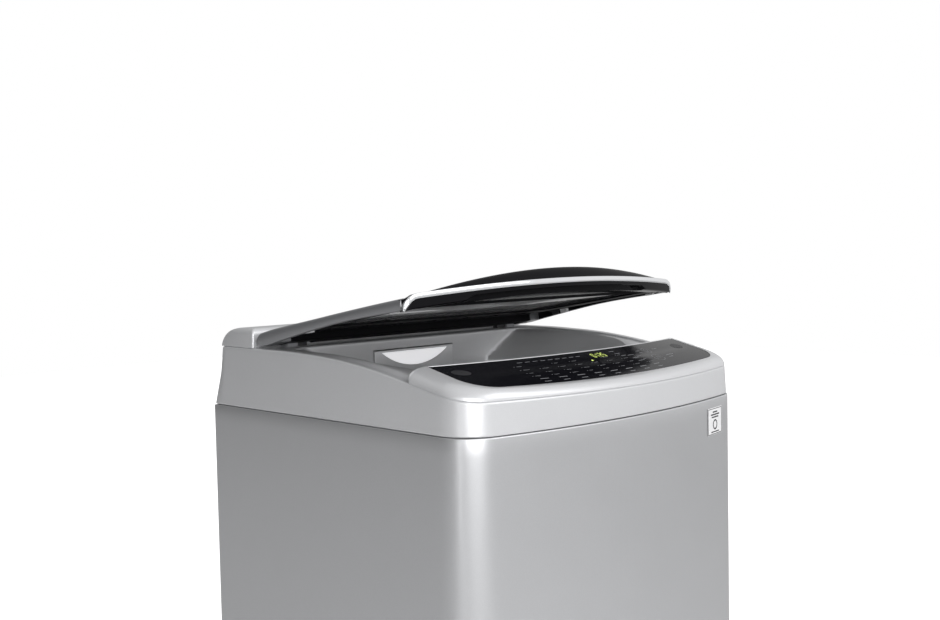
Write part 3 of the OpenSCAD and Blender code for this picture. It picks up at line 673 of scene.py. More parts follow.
# ---------------------------------------------------------------- console
CONSOLE_REAR_FROM = 104
CONSOLE_REAR_LEFT = 43


def console_rear(x):
    """Y of the console's rear edge, an arc that runs back towards the sides."""
    return CONSOLE_Y + CONSOLE_R - math.sqrt(CONSOLE_R ** 2 - x * x)


def glass_front(x):
    """Y of the glass panel's bowed front edge."""
    r = (MOUTH_X * MOUTH_X + GLASS_BOW * GLASS_BOW) / (2 * GLASS_BOW)
    return GLASS_FRONT + r - math.sqrt(max(r * r - x * x, 0))


def glass_z(x, y):
    """The glass leans forward: level along its rear edge, lower in the middle of the front."""
    rear, front = console_rear(x), glass_front(x)
    s = (rear - y) / (rear - front)
    return GLASS_REAR_Z - s * (0.027 - 0.005 * (x / 0.246) ** 2)


def console_ring(half, front, bow, fr, back, corner, inset=0.0):
    """Closed plan of the console: bowed front, big front corners, and a rear edge that follows its arc."""
    big, cy, cx, yc, s = front_curve(half, front, bow, fr)
    r1, r2 = max(fr - inset, 0.001), max(corner - inset, 0.0006)
    side = half - inset
    rear = console_rear(side) + back - inset
    pts = arc(0, cy, big - inset, 270 - s, 270 + s, 60)[:-1]
    pts += arc(cx, yc, r1, 270 + s, 360, 20)
    pts += spread((side, yc), (side, rear - r2), 20)
    pts += arc(side - r2, rear - r2, r2, 0, 82, 6)
    edge = side - r2
    for i in range(1, 60):
        x = edge * math.cos(math.pi * i / 60)
        pts.append((x, console_rear(x) + back - inset))
    pts += arc(r2 - side, rear - r2, r2, 98, 180, 6)
    pts += spread((-side, rear - r2), (-side, yc), 20)
    pts += arc(-cx, yc, r1, 180, 270 - s, 20)[:-1]
    return pts


def glass_ring(inset=0.0):
    """Plan of the touch glass."""
    return console_ring(MOUTH_X, GLASS_FRONT, GLASS_BOW, GLASS_CORNER, 0.0, 0.004, inset)


def build_console():
    """The silver bezel round the touch glass, and its wall down into the funnel."""
    back = 0.0008
    t_low, t_high = 0.33, 0.53

    def outer(t, inset=0.0):
        d = COVER_INSET + SIDE_DRAFT * t
        return console_ring(HALF_W - d, FRONT_Y + d, BOW, CORNER_R - d, back, 0.006, inset)

    low, high = outer(t_low), outer(t_high)
    inner_low, inner_high = outer(t_low, 0.0015), outer(t_high, 0.0015)
    edge = glass_ring()
    count = len(edge)
    columns = []
    for i in range(count):
        g = edge[i]
        near = smooth((low[i][1] + 0.25) / 0.09)
        o = (lerp(low[i][0], high[i][0], near), lerp(low[i][1], high[i][1], near))
        q = (lerp(inner_low[i][0], inner_high[i][0], near), lerp(inner_low[i][1], inner_high[i][1], near))
        gz = glass_z(*g) + 0.0006
        is_rear = CONSOLE_REAR_FROM <= i <= count - CONSOLE_REAR_LEFT
        rim = rim_z(o[1]) + 0.0002
        if is_rear:
            span = HALF_W - 0.005 - MOUTH_X
            out = min(max((abs(o[0]) - MOUTH_X) / span, 0), 1)
            rim = lerp(gz - 0.004, 0.9042, 1 - math.sqrt(1 - out * out))
        column = []
        cx, cy = g[0] * 0.985, lerp(g[1], -0.215, 0.06)
        column.append((cx, cy, gz - 0.0030))
        column.append((lerp(cx, g[0], 0.9), lerp(cy, g[1], 0.9), gz - 0.0012))
        column.append((g[0], g[1], gz - 0.0002))
        for k in range(0, 13):
            a = math.radians(90 * k / 12)
            out = math.sin(a)
            column.append((lerp(g[0], o[0], out), lerp(g[1], o[1], out), rim + (gz - rim) * math.cos(a)))
        column.append((q[0], q[1], rim - 0.0006))
        if is_rear:
            column.append((q[0] if abs(q[0]) > MOUTH_X else o[0], o[1], rim - 0.004))
            bottom = 0.8445 if abs(o[0]) < MOUTH_X - 0.02 else rim - 0.012
            column.append((o[0], o[1], bottom))
        else:
            column.append((q[0], q[1], rim - 0.003))
            column.append((q[0], q[1], rim - 0.008))
        columns.append(column)
    shell = loft("console_bezel_shell", columns, 50, closed=False, loop=True)
    dress(shell, "washer", "silver_plastic", "console_bezel")


def build_glass():
    """The touch panel, ruled between its level rear edge and its lower front edge."""
    inset = 0.0005
    edge = glass_ring(inset)
    core = glass_ring(inset + 0.0005)
    rings = [[(x, y, glass_z(x, y) - 0.0030) for x, y in edge],
             [(x, y, glass_z(x, y) - 0.0003) for x, y in edge],
             [(x, y, glass_z(x, y)) for x, y in core]]
    for s in (0.03, 0.15, 0.4, 0.7, 1.0):
        flat = [(x * (1 - 0.1 * s), lerp(y, -0.225 + (console_rear(x) - CONSOLE_Y) * 0.8, s)) for x, y in core]
        rings.append([(x, y, glass_z(x, y)) for x, y in flat])
    panel = loft("touch_panel", rings, 30, caps=True)
    dress(panel, "washer", "black_glass", "control_glass")
    build_marks()


def on_glass(x, s, lift=0.00015):
    """A point on the glass: x across, s from 0 at its rear edge to 1 at its front edge."""
    y = lerp(console_rear(x), glass_front(x), s)
    return (x, y, glass_z(x, y) + lift)


def bar_mark(x, s, width, depth):
    """A small printed bar on the glass."""
    reach = depth / GLASS_DEPTH
    return [on_glass(x - width / 2, s - reach / 2), on_glass(x + width / 2, s - reach / 2),
            on_glass(x + width / 2, s + reach / 2), on_glass(x - width / 2, s + reach / 2)], [(3, 2, 1, 0)]


def ring_mark(x, s, radius, line, a0=0, a1=360, squeeze=1.0):
    """A printed ring on the glass, or part of one."""
    steps = 40
    verts, faces = [], []
    for i in range(steps + 1):
        a = math.radians(lerp(a0, a1, i / steps))
        for r in (radius, radius - line):
            verts.append(on_glass(x + r * math.cos(a), s + r * squeeze * math.sin(a) / GLASS_DEPTH))
    for i in range(steps):
        faces.append((2 * i, 2 * i + 2, 2 * i + 3, 2 * i + 1))
    return verts, faces


def build_marks():
    """Printed marks on the touch panel: lists as short bars, touch keys as rings, and the lit time."""
    parts = []
    rows = (0.30, 0.44, 0.57, 0.69)
    columns = [-0.146 + 0.034 * k for k in range(8)]
    for k, x in enumerate(columns):
        for j, s in enumerate(rows[(k % 3 == 1):]):
            length = (0.011, 0.014, 0.009, 0.012)[(k + j) % 4]
            parts.append(bar_mark(x + length / 2, s, length * 0.8, 0.0007))
            parts.append(bar_mark(x - 0.003, s, 0.0012, 0.0012))
        parts.append(bar_mark(x + 0.008, 0.80, 0.015, 0.0013))
        parts.append(bar_mark(x + 0.006, 0.90, 0.012, 0.0012))
    for k in range(9):
        parts.append(bar_mark(-0.128 + 0.014 * k, 0.16, 0.009, 0.0011))
    for k in range(3):
        parts.append(bar_mark(0.062 + 0.004 * k, 0.14 + 0.10 * k, 0.012, 0.0011))
        parts.append(bar_mark(0.086, 0.36 + 0.12 * k, 0.015, 0.0011))
    parts.append(ring_mark(0.136, 0.30, 0.0085, 0.0007))
    parts.append(ring_mark(0.136, 0.30, 0.0040, 0.0009, a0=-60, a1=240))
    parts.append(bar_mark(0.136, 0.26, 0.0009, 0.0045))
    parts.append(ring_mark(0.131, 0.60, 0.0105, 0.0007))
    parts.append(bar_mark(0.1295, 0.60, 0.0014, 0.0060))
    parts.append(bar_mark(0.1335, 0.60, 0.0014, 0.0060))
    for x, s, w in ((0.116, 0.26, 0.010), (0.116, 0.34, 0.008), (0.162, 0.28, 0.016), (0.166, 0.58, 0.022),
                    (0.160, 0.66, 0.012)):
        parts.append(bar_mark(x, s, w, 0.0012))
    marks = merged("panel_marks", parts)
    dress(marks, "washer", "grey_plastic")
    parts = []
    for x, shown in ((0.014, "abcdef"), (0.021, "bc"), (0.030, "abged"), (0.037, "afgcd")):
        parts += digit(x, shown)
    parts.append(bar_mark(-0.004, 0.36, 0.0030, 0.0030))
    lit = merged("panel_digits", parts)
    lit.data.materials.append(LED)
    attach(lit, "washer")
    parts = []
    for x in (-0.236, 0.226):
        verts, faces = ring_mark(x, 0.34, 0.013, 0.0125, squeeze=0.72)
        parts.append((verts, faces))
    pads = merged("panel_rests", parts)
    dress(pads, "washer", "black_plastic")


def digit(x, shown):
    """One figure of the time display, as the lit ones of its seven bars."""
    w, h, t = 0.0042, 0.065, 0.0009
    mid, tall = 0.20, 0.0044
    bars = {"a": (x, mid - h, w, t), "g": (x, mid, w, t), "d": (x, mid + h, w, t),
            "f": (x - w / 2, mid - h / 2, t, tall), "b": (x + w / 2, mid - h / 2, t, tall),
            "e": (x - w / 2, mid + h / 2, t, tall), "c": (x + w / 2, mid + h / 2, t, tall)}
    return [bar_mark(*bars[k]) for k in shown]


# ---------------------------------------------------------------- lid
def lid_point(x, v, w):
    """From the lid's own frame (across, distance from the hinge, height) to the row frame."""
    c, s = math.cos(LID_REST), math.sin(LID_REST)
    return (x, PIVOT.y - v * c + w * s, PIVOT.z + v * s + w * c)


def lid_mesh(name, parts, sharp=35.0):
    return merged(name, [([lid_point(*p) for p in v], f) for v, f in parts], sharp)


TOP_LINE = [(0.002, 0.008), (0.028, 0.0101), (0.079, 0.0112), (0.127, 0.012), (0.173, 0.0132),
            (0.218, 0.014), (0.260, 0.0146), (0.355, 0.015)]
LOW_LINE = [(0.015, -0.0113), (0.050, -0.0083), (0.095, -0.0049), (0.133, -0.0023), (0.170, -0.0003),
            (0.215, 0.0006), (0.268, 0.0), (0.298, -0.0006), (0.318, -0.0005)]
HINGE_R = 0.010
HINGE_W = -0.002
RAIL_END = 0.3152
RAIL_WIDE = 0.028
RAIL_LIP = 0.006
RAIL_FROM = 0.036
NOSE_BACK = 0.3111
INNER_TOP = 0.0053
GLASS_TOP = 0.0095


def rail_top(v):
    if v < 0:
        return HINGE_W + math.sqrt(max(HINGE_R ** 2 - v * v, 1e-8))
    return sum(table(v + d, TOP_LINE) for d in (-0.008, 0, 0.008)) / 3 if v > 0.010 else table(v, TOP_LINE)


def rail_low(v):
    if v < 0.003:
        return HINGE_W - math.sqrt(max(HINGE_R ** 2 - v * v, 1e-8))
    if v < 0.015:
        return lerp(-0.01154, -0.0113, (v - 0.003) / 0.012)
    return sum(table(v + d, LOW_LINE) for d in (-0.006, 0, 0.006)) / 3 if v > 0.022 else table(v, LOW_LINE)


def nose_contour(inset=0.0):
    """The lid's front outline from its right side round to its left: (x, distance from the hinge)."""
    big, cy, cx, yc, s = front_curve(LID_X, -LID_REACH, LID_BOW, LID_CORNER)
    pts = [(LID_X - inset, -yc)]
    pts += arc(cx, -yc, LID_CORNER - inset, 0, 90 - s, 18)[1:]
    pts += arc(0, -cy, big - inset, 90 - s, 90 + s, 90)[1:-1]
    pts += arc(-cx, -yc, LID_CORNER - inset, 90 + s, 180, 18)
    return pts


def contour_run():
    """Distance along the nose outline from the nearer end, for each of its points."""
    pts = nose_contour()
    run = [0.0]
    for a, b in zip(pts, pts[1:]):
        run.append(run[-1] + math.hypot(b[0] - a[0], b[1] - a[1]))
    return [min(r, run[-1] - r) for r in run]


STRIP_START = 0.0032
STRIP_CURL = 0.027
STRIP_HALF = 0.0037


def strip_mid(x, run):
    """Height of the middle of the bright strip, which curls down the ends of the rails."""
    line = 0.0232 - 0.0085 * (x / LID_X) ** 2
    if run >= STRIP_CURL:
        return line
    t = max(run - STRIP_START, 0) / (STRIP_CURL - STRIP_START)
    return lerp(-0.001, line, math.sin(math.pi / 2 * t ** 0.88))


def rail_section(v):
    """Outline of one rail across its width, at a distance from the hinge: an angle section under the lid."""
    taper = 0.0006 if v == RAIL_END else 0
    out = LID_X - taper
    inner = LID_X - RAIL_WIDE
    t = rail_top(v) - taper
    b = rail_low(v)
    r = min(0.005, (t - b) * 0.48)
    q = min(0.0018, (t - b) * 0.2)
    hollow = RAIL_FROM < v < NOSE_BACK - 0.0001
    ceiling = 0.0055 if hollow else b
    raised = ceiling > b
    ring = [(out - RAIL_LIP - 0.0005 if hollow else inner + 0.004, b)]
    ring += [(out - q, b), (out - q * 0.3, b + q * 0.3), (out, b + q)]
    ring += [(out - r + r * math.cos(math.radians(a)), t - r + r * math.sin(math.radians(a)))
             for a in (0, 20, 40, 60, 80, 90)]
    ring += [(inner + 0.004, t), (inner + 0.0012, t - 0.0006)]
    ring += [(inner, max(min(GLASS_TOP, t - 0.001), b + 0.0001))]
    ring += [(inner, ceiling if raised else b + 0.00005)]
    ring += [(out - RAIL_LIP - 0.001 if raised else inner + 0.002, ceiling)]
    return ring


def build_lid_rails():
    """Grey side rails with rounded hinge ends, and the dark cross bar between them."""
    stations = [-0.0099, -0.0096, -0.0088, -0.0076, -0.006, -0.0035, 0, 0.003, 0.008, 0.015, 0.022, 0.030]
    stations += [RAIL_FROM - 0.0001, RAIL_FROM + 0.0001, 0.045, 0.060, 0.080, 0.108, 0.14, 0.17, 0.203, 0.24]
    stations += [0.27, 0.290, NOSE_BACK - 0.0002, NOSE_BACK, 0.313, RAIL_END - 0.0006, RAIL_END]
    rails = [loft_data([[(side * x, v, w) for x, w in rail_section(v)] for v in stations], caps=True)
             for side in (-1, 1)]
    dress(lid_mesh("lid_rails", rails, 30), "lid", "lid_grey", "lid_frame")
    bar_rear, notch, full = 0.034, 0.0135, -0.0098
    bars = []
    for x0, x1, v0 in ((-0.2595, -0.249, full), (-0.2492, -0.1948, notch), (-0.195, 0.195, full),
                       (0.1948, 0.2492, notch), (0.249, 0.2595, full)):
        steps = (full, -0.0088, -0.007, -0.004, 0, 0.005, 0.010, notch, 0.018, 0.024, 0.030)
        vs = [v for v in steps if v >= v0]
        top, low = rail_top(bar_rear), rail_low(bar_rear)
        profile = [(v, rail_top(v)) for v in vs] + [(bar_rear - 0.001, top), (bar_rear, top - 0.001)]
        profile += [(bar_rear, low + 0.001), (bar_rear - 0.001, low)]
        profile += [(v, rail_low(v)) for v in reversed(vs)]
        bars.append(loft_data([[(x, v, w) for v, w in profile] for x in (x0, x1)], caps=True))
    dress(lid_mesh("lid_rear_bar", bars, 30), "lid", "lid_black")


def frame_ring(half, v0, v1, corner, n=6):
    """A rounded rectangle in the lid's plane."""
    mid = half - corner
    return (arc(mid, v1 - corner, corner, 0, 90, n) + arc(-mid, v1 - corner, corner, 90, 180, n)
            + arc(-mid, v0 + corner, corner, 180, 270, n) + arc(mid, v0 + corner, corner, 270, 360, n))


def build_inner_frame():
    """The black moulding that holds the glass: chamfered round its window, ribbed at the hinge end, and
    lining the inside of each rail."""
    outer = frame_ring(0.279, 0.037, 0.310, 0.004)
    wide = frame_ring(0.256, 0.074, 0.308, 0.016)
    hole = frame_ring(0.250, 0.080, 0.302, 0.014)
    under = frame_ring(0.2585, 0.058, 0.3094, 0.010)
    step = frame_ring(0.2620, 0.0385, 0.3096, 0.004)
    levels = ((hole, INNER_TOP), (hole, 0.0032), (wide, 0.0019), (under, 0.0015), (step, 0.0040),
              (outer, 0.0042), (outer, INNER_TOP))
    parts = [loft_data([[p + (w,) for p in ring] for ring, w in levels], loop=True)]
    for k in range(7):
        x = -0.21 + 0.07 * k
        parts.append(box_data((x - 0.0015, 0.040, 0.0008), (x + 0.0015, 0.070, 0.0040)))
    parts.append(box_data((-0.24, 0.052, 0.0005), (0.24, 0.0545, 0.0040)))
    lining_top, near, far = 0.0045, 0.2780, 0.2787
    for side in (-1, 1):
        rings = []
        for k in range(25):
            v = lerp(0.0375, 0.3095, k / 24)
            low = rail_low(v) + 0.0008
            section = ((near, lining_top), (near, low), (far, low), (far, lining_top))
            rings.append([(side * x, v, w) for x, w in section])
        parts.append(loft_data(rings, caps=True))
    dress(lid_mesh("lid_inner_frame_mould", parts, 30), "lid", "lid_black", "lid_inner_frame")


def build_lid_glass():
    """The glass pane, and the fine printed lines across it."""
    outline = frame_ring(0.2575, 0.0345, 0.3105, 0.003, 3)
    pane = lid_mesh("lid_glass_pane", [prism_data(outline, 0.0057, GLASS_TOP, 0.0006)], 30)
    dress(pane, "lid", "smoked_glass", "lid_glass")
    half, thick, height = 0.19, 0.0006, GLASS_TOP + 0.00012
    lines = []
    for k in range(14):
        v = 0.100 + 0.0135 * k
        corners = ((-half, v), (half, v), (half, v + thick), (-half, v + thick))
        lines.append(([(x, y, height) for x, y in corners], [(0, 1, 2, 3)]))
    dress(lid_mesh("lid_glass_lines", lines), "lid", "bumper_rubber")


def build_nose():
    """The gloss black front of the lid: a crest, a steep face, and a scooped grip below the bright strip."""
    outer = nose_contour(0.0008)
    run = contour_run()
    columns = []
    back = NOSE_BACK + 0.0002
    for (x, v), r in zip(outer, run):
        mid = strip_mid(x, r)
        ledge = mid + STRIP_HALF - 0.0006
        crest = max(0.043 - 0.030 * (x / LID_X) ** 2, ledge + 0.0005)
        low = 0.008 - 0.0095 * (x / LID_X) ** 2
        grip = smooth((0.194 - abs(x)) / 0.014)
        depth = max(v - back, 0.002)
        face = min(0.010, depth * 0.3)
        rear_w = min(0.0146, crest - 0.0008)

        def at(d, w):
            """A point d in from the front outline, at height w."""
            return (x, v - min(d, depth), w)

        column = [at(depth, rear_w)]
        for t in (0.97, 0.9, 0.8, 0.7, 0.6, 0.5, 0.4, 0.3, 0.2, 0.1):
            column.append(at(lerp(face, depth, t), lerp(crest, rear_w, t ** 3)))
        for t in (1.0, 0.8, 0.6, 0.45, 0.3, 0.2, 0.1, 0.03):
            column.append(at(face * t, lerp(ledge, crest, t * (2 - t))))
        column.append(at(0.0, ledge))
        column.append(at(0.0, max(mid - STRIP_HALF + 0.0006, low + 0.0008)))
        lip_w = lerp(low + 0.0010, max(mid - 0.0092, low + 0.001), grip)
        column.append(at(0.0002, lip_w + 0.0008))
        column.append(at(0.0012, lip_w))
        column.append(at(lerp(0.0022, 0.0030, grip), lerp(low + 0.0004, lip_w, grip)))
        column.append(at(lerp(0.0030, 0.0038, grip), lerp(low + 0.0002, lip_w + 0.002, grip)))
        column.append(at(lerp(0.0035, 0.0120, grip), lerp(low, lip_w + 0.002, grip)))
        column.append(at(lerp(0.0080, 0.0140, grip), low))
        column.append(at(depth * 0.6, low))
        column.append(at(depth, low))
        columns.append(column)
    shell = lid_mesh("lid_nose", [loft_data(columns, caps=True)], 32)
    dress(shell, "lid", "gloss_black", "lid_handle")


def build_strip():
    """The bright strip round the nose: a crowned section swept along it, its ends curling down the rails."""
    run = contour_run()
    base = [p for p, r in zip(nose_contour(), run) if r >= STRIP_START]
    run = [r for r in run if r >= STRIP_START]
    path = [Vector((x, v, strip_mid(x, r))) for (x, v), r in zip(base, run)]
    count = len(path)
    section = [(-1, -0.0012), (-1, 0), (-0.86, 0.0006), (-0.5, 0.0010), (0, 0.0011), (0.5, 0.0010),
               (0.86, 0.0006), (1, 0), (1, -0.0012)]
    rings = []
    for i, p in enumerate(path):
        a, b = path[max(i - 1, 0)], path[min(i + 1, count - 1)]
        along = (b - a).normalized()
        flat = Vector((base[min(i + 1, count - 1)][0] - base[max(i - 1, 0)][0],
                       base[min(i + 1, count - 1)][1] - base[max(i - 1, 0)][1], 0)).normalized()
        out = Vector((flat.y, -flat.x, 0))
        across_ = along.cross(out).normalized()
        if across_.z < 0:
            across_ = -across_
        rings.append([tuple(p + across_ * STRIP_HALF * s + out * d) for s, d in section])
    strip = lid_mesh("lid_bright_strip", [loft_data(rings, caps=True)], 40)
    dress(strip, "lid", "chrome_trim", "lid_trim")


# ---------------------------------------------------------------- drawer and badge
def facing_front(outline, y_front, y_back, edge, steps=3):
    """A plate seen from the front: outline in X and Z, its front rim rounded by edge."""
    def ring(y, inset):
        return [(x, y, z) for x, z in inset_outline(outline, inset)]
    rings = [ring(y_back, 0)]
    for i in range(steps + 1):
        a = math.radians(90 * i / steps)
        rings.append(ring(y_front + edge * (1 - math.sin(a)), edge * (1 - math.cos(a))))
    return loft_data(rings, caps=True)


def build_drawer_face():
    lo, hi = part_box("drawer_front")
    r = 0.0015
    outline = (arc(hi.x - r, hi.z - r, r, 0, 90, 4) + arc(lo.x + r, hi.z - r, r, 90, 180, 4)
               + arc(lo.x + r, lo.z + r, r, 180, 270, 4) + arc(hi.x - r, lo.z + r, r, 270, 360, 4))
    face = merged("drawer_face", [facing_front(outline, lo.y, hi.y, 0.0010)], 35)
    dress(face, "drawer", "silver_plastic", "drawer_front")
    g_lo, g_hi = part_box("drawer_grip")
    half = (g_hi.x - g_lo.x) / 2
    mid = (g_hi.x + g_lo.x) / 2
    sag = g_hi.z - g_lo.z
    big = (half * half + sag * sag) / (2 * sag)
    span = math.degrees(math.asin(min(half / big, 1)))
    crescent = arc(mid, g_lo.z + big, big, 270 - span, 270 + span, 48)
    crescent = inset_outline(crescent, 0.0006)
    grip = merged("drawer_crescent", [facing_front(crescent, lo.y - 0.0005, lo.y + 0.001, 0.0004)], 35)
    # grip_white glows with painted light, which brightens the crescent beyond what the lamps give it
    dress(grip, "drawer", "grip_white", "drawer_grip")


def front_surface(x):
    """Y of the cabinet's bowed front at x."""
    big, cy, cx, yc, _ = front_curve(HALF_W, FRONT_Y, BOW, CORNER_R)
    limit = cx / (big - CORNER_R) * big
    if abs(x) <= limit:
        return cy - math.sqrt(big * big - x * x)
    return yc - math.sqrt(max(CORNER_R ** 2 - (abs(x) - cx) ** 2, 0))


def on_front(x, z, lift):
    return (x, front_surface(x) - lift, z)


def build_badge():
    """A small plain plate with a ring and bars, following the bow of the front."""
    lo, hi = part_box("front_badge")
    steps = 10
    parts = []
    rows = [(lo.z, 0.0), (lo.z + 0.0004, 0.0006), (hi.z - 0.0004, 0.0006), (hi.z, 0.0)]
    rings = [[on_front(lerp(lo.x, hi.x, i / steps), z, lift) for i in range(steps + 1)] for z, lift in rows]
    parts.append(loft_data(rings, closed=False))
    plate = merged("badge_plate", parts, 40)
    dress(plate, "washer", "badge_foil", "front_badge")
    ink = []
    mid_x, mid_z = (lo.x + hi.x) / 2, (lo.z + hi.z) / 2 - 0.002

    def patch(x0, x1, z0, z1):
        n = 4
        verts = [on_front(lerp(x0, x1, i / n), z, 0.00075) for z in (z0, z1) for i in range(n + 1)]
        return verts, [(i, i + 1, n + 2 + i, n + 1 + i) for i in range(n)]

    line = 0.0009
    edges = ((lo.x + line, hi.x - line), (lo.z + line, hi.z - line))
    for z in (lo.z + line, hi.z - 2 * line):
        ink.append(patch(*edges[0], z, z + line))
    for x in (lo.x + line, hi.x - 2 * line):
        ink.append(patch(x, x + line, *edges[1]))
    for k, w in enumerate((0.016, 0.030, 0.024)):
        top = hi.z - 0.0052 - 0.0038 * k
        ink.append(patch(mid_x - w / 2, mid_x + w / 2, top - 0.0020, top))
    ink.append(patch(mid_x - 0.014, mid_x + 0.014, lo.z + 0.0036, lo.z + 0.0052))
    verts = []
    for i in range(33):
        a = 2 * math.pi * i / 32
        for r in (0.0076, 0.0054):
            verts.append(on_front(mid_x + r * math.cos(a), mid_z - 0.003 + r * math.sin(a), 0.00075))
    ink.append((verts, [(2 * i, 2 * i + 1, 2 * i + 3, 2 * i + 2) for i in range(32)]))
    dress(merged("badge_print", ink), "washer", "black_plastic")


# ---------------------------------------------------------------- springs, hose, drum
def build_springs():
    """Four coil springs."""
    lo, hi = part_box("suspension_springs")
    wire, turns, per = 0.002, 6.5, 28
    rod = Vector((0.225, 0.205))
    radius = (hi.x - lo.x) / 2 - rod.x - wire
    total = int(turns * per)
    parts = []
    for sx in (-1, 1):
        for sy in (-1, 1):
            path = []
            for i in range(total + 1):
                t = i / total
                rise = min(max((t - 0.07) / 0.86, 0), 1)
                a = 2 * math.pi * turns * t
                path.append((sx * rod.x + radius * math.cos(a), sy * rod.y + radius * math.sin(a),
                             lerp(lo.z + wire, hi.z - wire, rise)))
            parts.append(tube_data(path, wire, 10))
    coils = merged("suspension_coils", parts, 40)
    dress(coils, "washer", "spring_steel", "suspension_springs")
    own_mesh(coils)


def build_drain_hose():
    lo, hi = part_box("drain_hose")
    mid = Vector(((lo.x + hi.x) / 2, 0, (lo.z + hi.z) / 2))
    outer = (hi.x - lo.x) / 2
    cuff, rings_n = 0.008, 10
    profile = [(lo.y, outer - 0.006), (lo.y, outer - 0.003), (lo.y + cuff, outer - 0.003)]
    y0, y1 = lo.y + cuff, hi.y - cuff
    steps = rings_n * 8
    for i in range(steps + 1):
        t = i / steps
        wave = math.sin(2 * math.pi * rings_n * t - math.pi / 2)
        profile.append((lerp(y0, y1, t), outer + 0.0022 * (wave - 1)))
    profile += [(hi.y - cuff, outer - 0.003), (hi.y, outer - 0.003), (hi.y, outer - 0.006)]
    rings = [[(mid.x + r * math.cos(2 * math.pi * k / 32), y, mid.z + r * math.sin(2 * math.pi * k / 32))
              for k in range(32)] for y, r in profile]
    hose = merged("drain_bellows", [loft_data(rings, loop=True)], 50)
    hose.data.materials.append(MATERIALS["hose_rubber"])
    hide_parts("drain_hose")
    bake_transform(hose)


def build_basket():
    """The rolled steel drum wall, with its rows of holes and pressed vertical ribs."""
    lo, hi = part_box("basket")
    radius = (hi.x - lo.x) / 2
    columns, rows = 96, 22
    z0, z1 = lo.z + 0.040, hi.z - 0.010
    hole = 0.0021

    def wall(a, z):
        rib = 0.0022 * max(0.0, math.cos(8 * a)) ** 8 * smooth((z - z0) / 0.03) * smooth((z1 - z) / 0.03)
        r = radius - 0.0006 - rib
        return (r * math.cos(a), r * math.sin(a), z)

    verts, faces = [], []
    da, dz = 2 * math.pi / columns, (z1 - z0) / rows
    ring_unit = arc(0, 0, 1, 22.5, 337.5, 7)
    square = [(0.5, 0.18), (0.18, 0.5), (-0.18, 0.5), (-0.5, 0.18), (-0.5, -0.18), (-0.18, -0.5),
              (0.18, -0.5), (0.5, -0.18)]
    corner = [(0.5, 0.5), (-0.5, 0.5), (-0.5, -0.5), (0.5, -0.5)]
    for i in range(columns):
        for j in range(rows):
            a, z = (i + 0.5) * da, z0 + (j + 0.5) * dz
            base = len(verts)
            verts += [wall(a + u * da, z + w * dz) for u, w in square]
            verts += [wall(a + u * da, z + w * dz) for u, w in corner]
            if (i + j) % 2:
                faces.append(tuple(base + k for k in (8, 1, 2, 9, 3, 4, 10, 5, 6, 11, 7, 0)))
                continue
            verts += [wall(a + u * hole / radius, z + w * hole) for u, w in ring_unit]
            for k in range(8):
                n = (k + 1) % 8
                if k % 2 == 0:
                    faces.append((base + k, base + 8 + k // 2, base + n, base + 12 + n, base + 12 + k))
                else:
                    faces.append((base + k, base + n, base + 12 + n, base + 12 + k))
    profile = [(0.060, 0), (radius - 0.012, 0), (radius - 0.006, 0.0018), (radius - 0.0022, 0.006),
               (radius - 0.0006, 0.012)]
    rings = []
    for i in range(columns * 2 + 1):
        a = i * da / 2
        rings.append([(r * math.cos(a), r * math.sin(a), lo.z + h) for r, h in profile] + [wall(a, z0)])
    low = loft_data(rings, closed=False)
    rings = []
    for i in range(columns * 2 + 1):
        a = i * da / 2
        rings.append([wall(a, z1), ((radius - 0.0006) * math.cos(a), (radius - 0.0006) * math.sin(a), hi.z)])
    high = loft_data(rings, closed=False)
    drum = merged("basket_wall", [(verts, faces), low, high], 50)
    thick = drum.modifiers.new("sheet", "SOLIDIFY")
    thick.thickness = 0.0009
    thick.offset = 0
    dress(drum, "spin_basket", "basket_steel", "basket")


def build_pulsator():
    """The wash plate: a dished disc with six swept vanes and a rolled rim."""
    lo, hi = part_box("pulsator")
    radius = (hi.x - lo.x) / 2
    z0 = lo.z
    spokes, bore = 6, 0.0105
    rings = []
    steps = 40
    for j in range(steps + 1):
        r = lerp(bore, radius, j / steps)
        ring = []
        for i in range(180):
            a = 2 * math.pi * i / 180
            sweep = a - 0.35 * (r / radius)
            ridge = max(0.0, math.cos(spokes * sweep)) ** 5
            span = smooth((r - 0.030) / 0.02) * smooth((radius - 0.006 - r) / 0.03)
            dish = 0.009 + 0.010 * smooth((0.060 - r) / 0.05) + 0.015 * smooth((0.040 - r) / 0.012)
            dish += 0.003 * smooth((r - 0.13) / 0.04)
            top = z0 + dish + ridge * span * lerp(0.018, 0.007, r / radius)
            ring.append((r * math.cos(a), r * math.sin(a), min(top, hi.z - 0.0005)))
        rings.append(ring)
    rim = rings[-1]
    rings.append([(x * 1.002, y * 1.002, z - 0.003) for x, y, z in rim])
    rings.append([(x * 0.997, y * 0.997, z0 + 0.0005) for x, y, z in rim])
    rings.append([(x * 0.985, y * 0.985, z0) for x, y, z in rim])
    rings.append([(x, y, z0) for x, y in arc(0, 0, bore, 0, 358, 179)])
    plate = merged("pulsator_plate", [loft_data(rings, loop=True)], 45)
    dress(plate, "agitator", "ring_plastic", "pulsator")


# ---------------------------------------------------------------- carried-over CAD pieces
def dress_cad():
    """Every CAD node that shows keeps its shape and gets its finish and softened edges."""
    slots = {s["node"]: s["material_slot"] for s in frame["record"]["subparts"]}
    for name, obj in frame["nodes"].items():
        obj.data.materials.clear()
        obj.data.materials.append(MATERIALS[slots[name]])
        if obj.hide_render:
            continue
        obj.data.shade_smooth()
        obj.data.set_sharp_from_angle(angle=math.radians(32))
        round_ = obj.modifiers.new("edges", "BEVEL")
        round_.width = 0.0005
        round_.segments = 2
        round_.limit_method = "ANGLE"
        round_.angle_limit = math.radians(40)
        round_.harden_normals = False
        round_.use_clamp_overlap = True


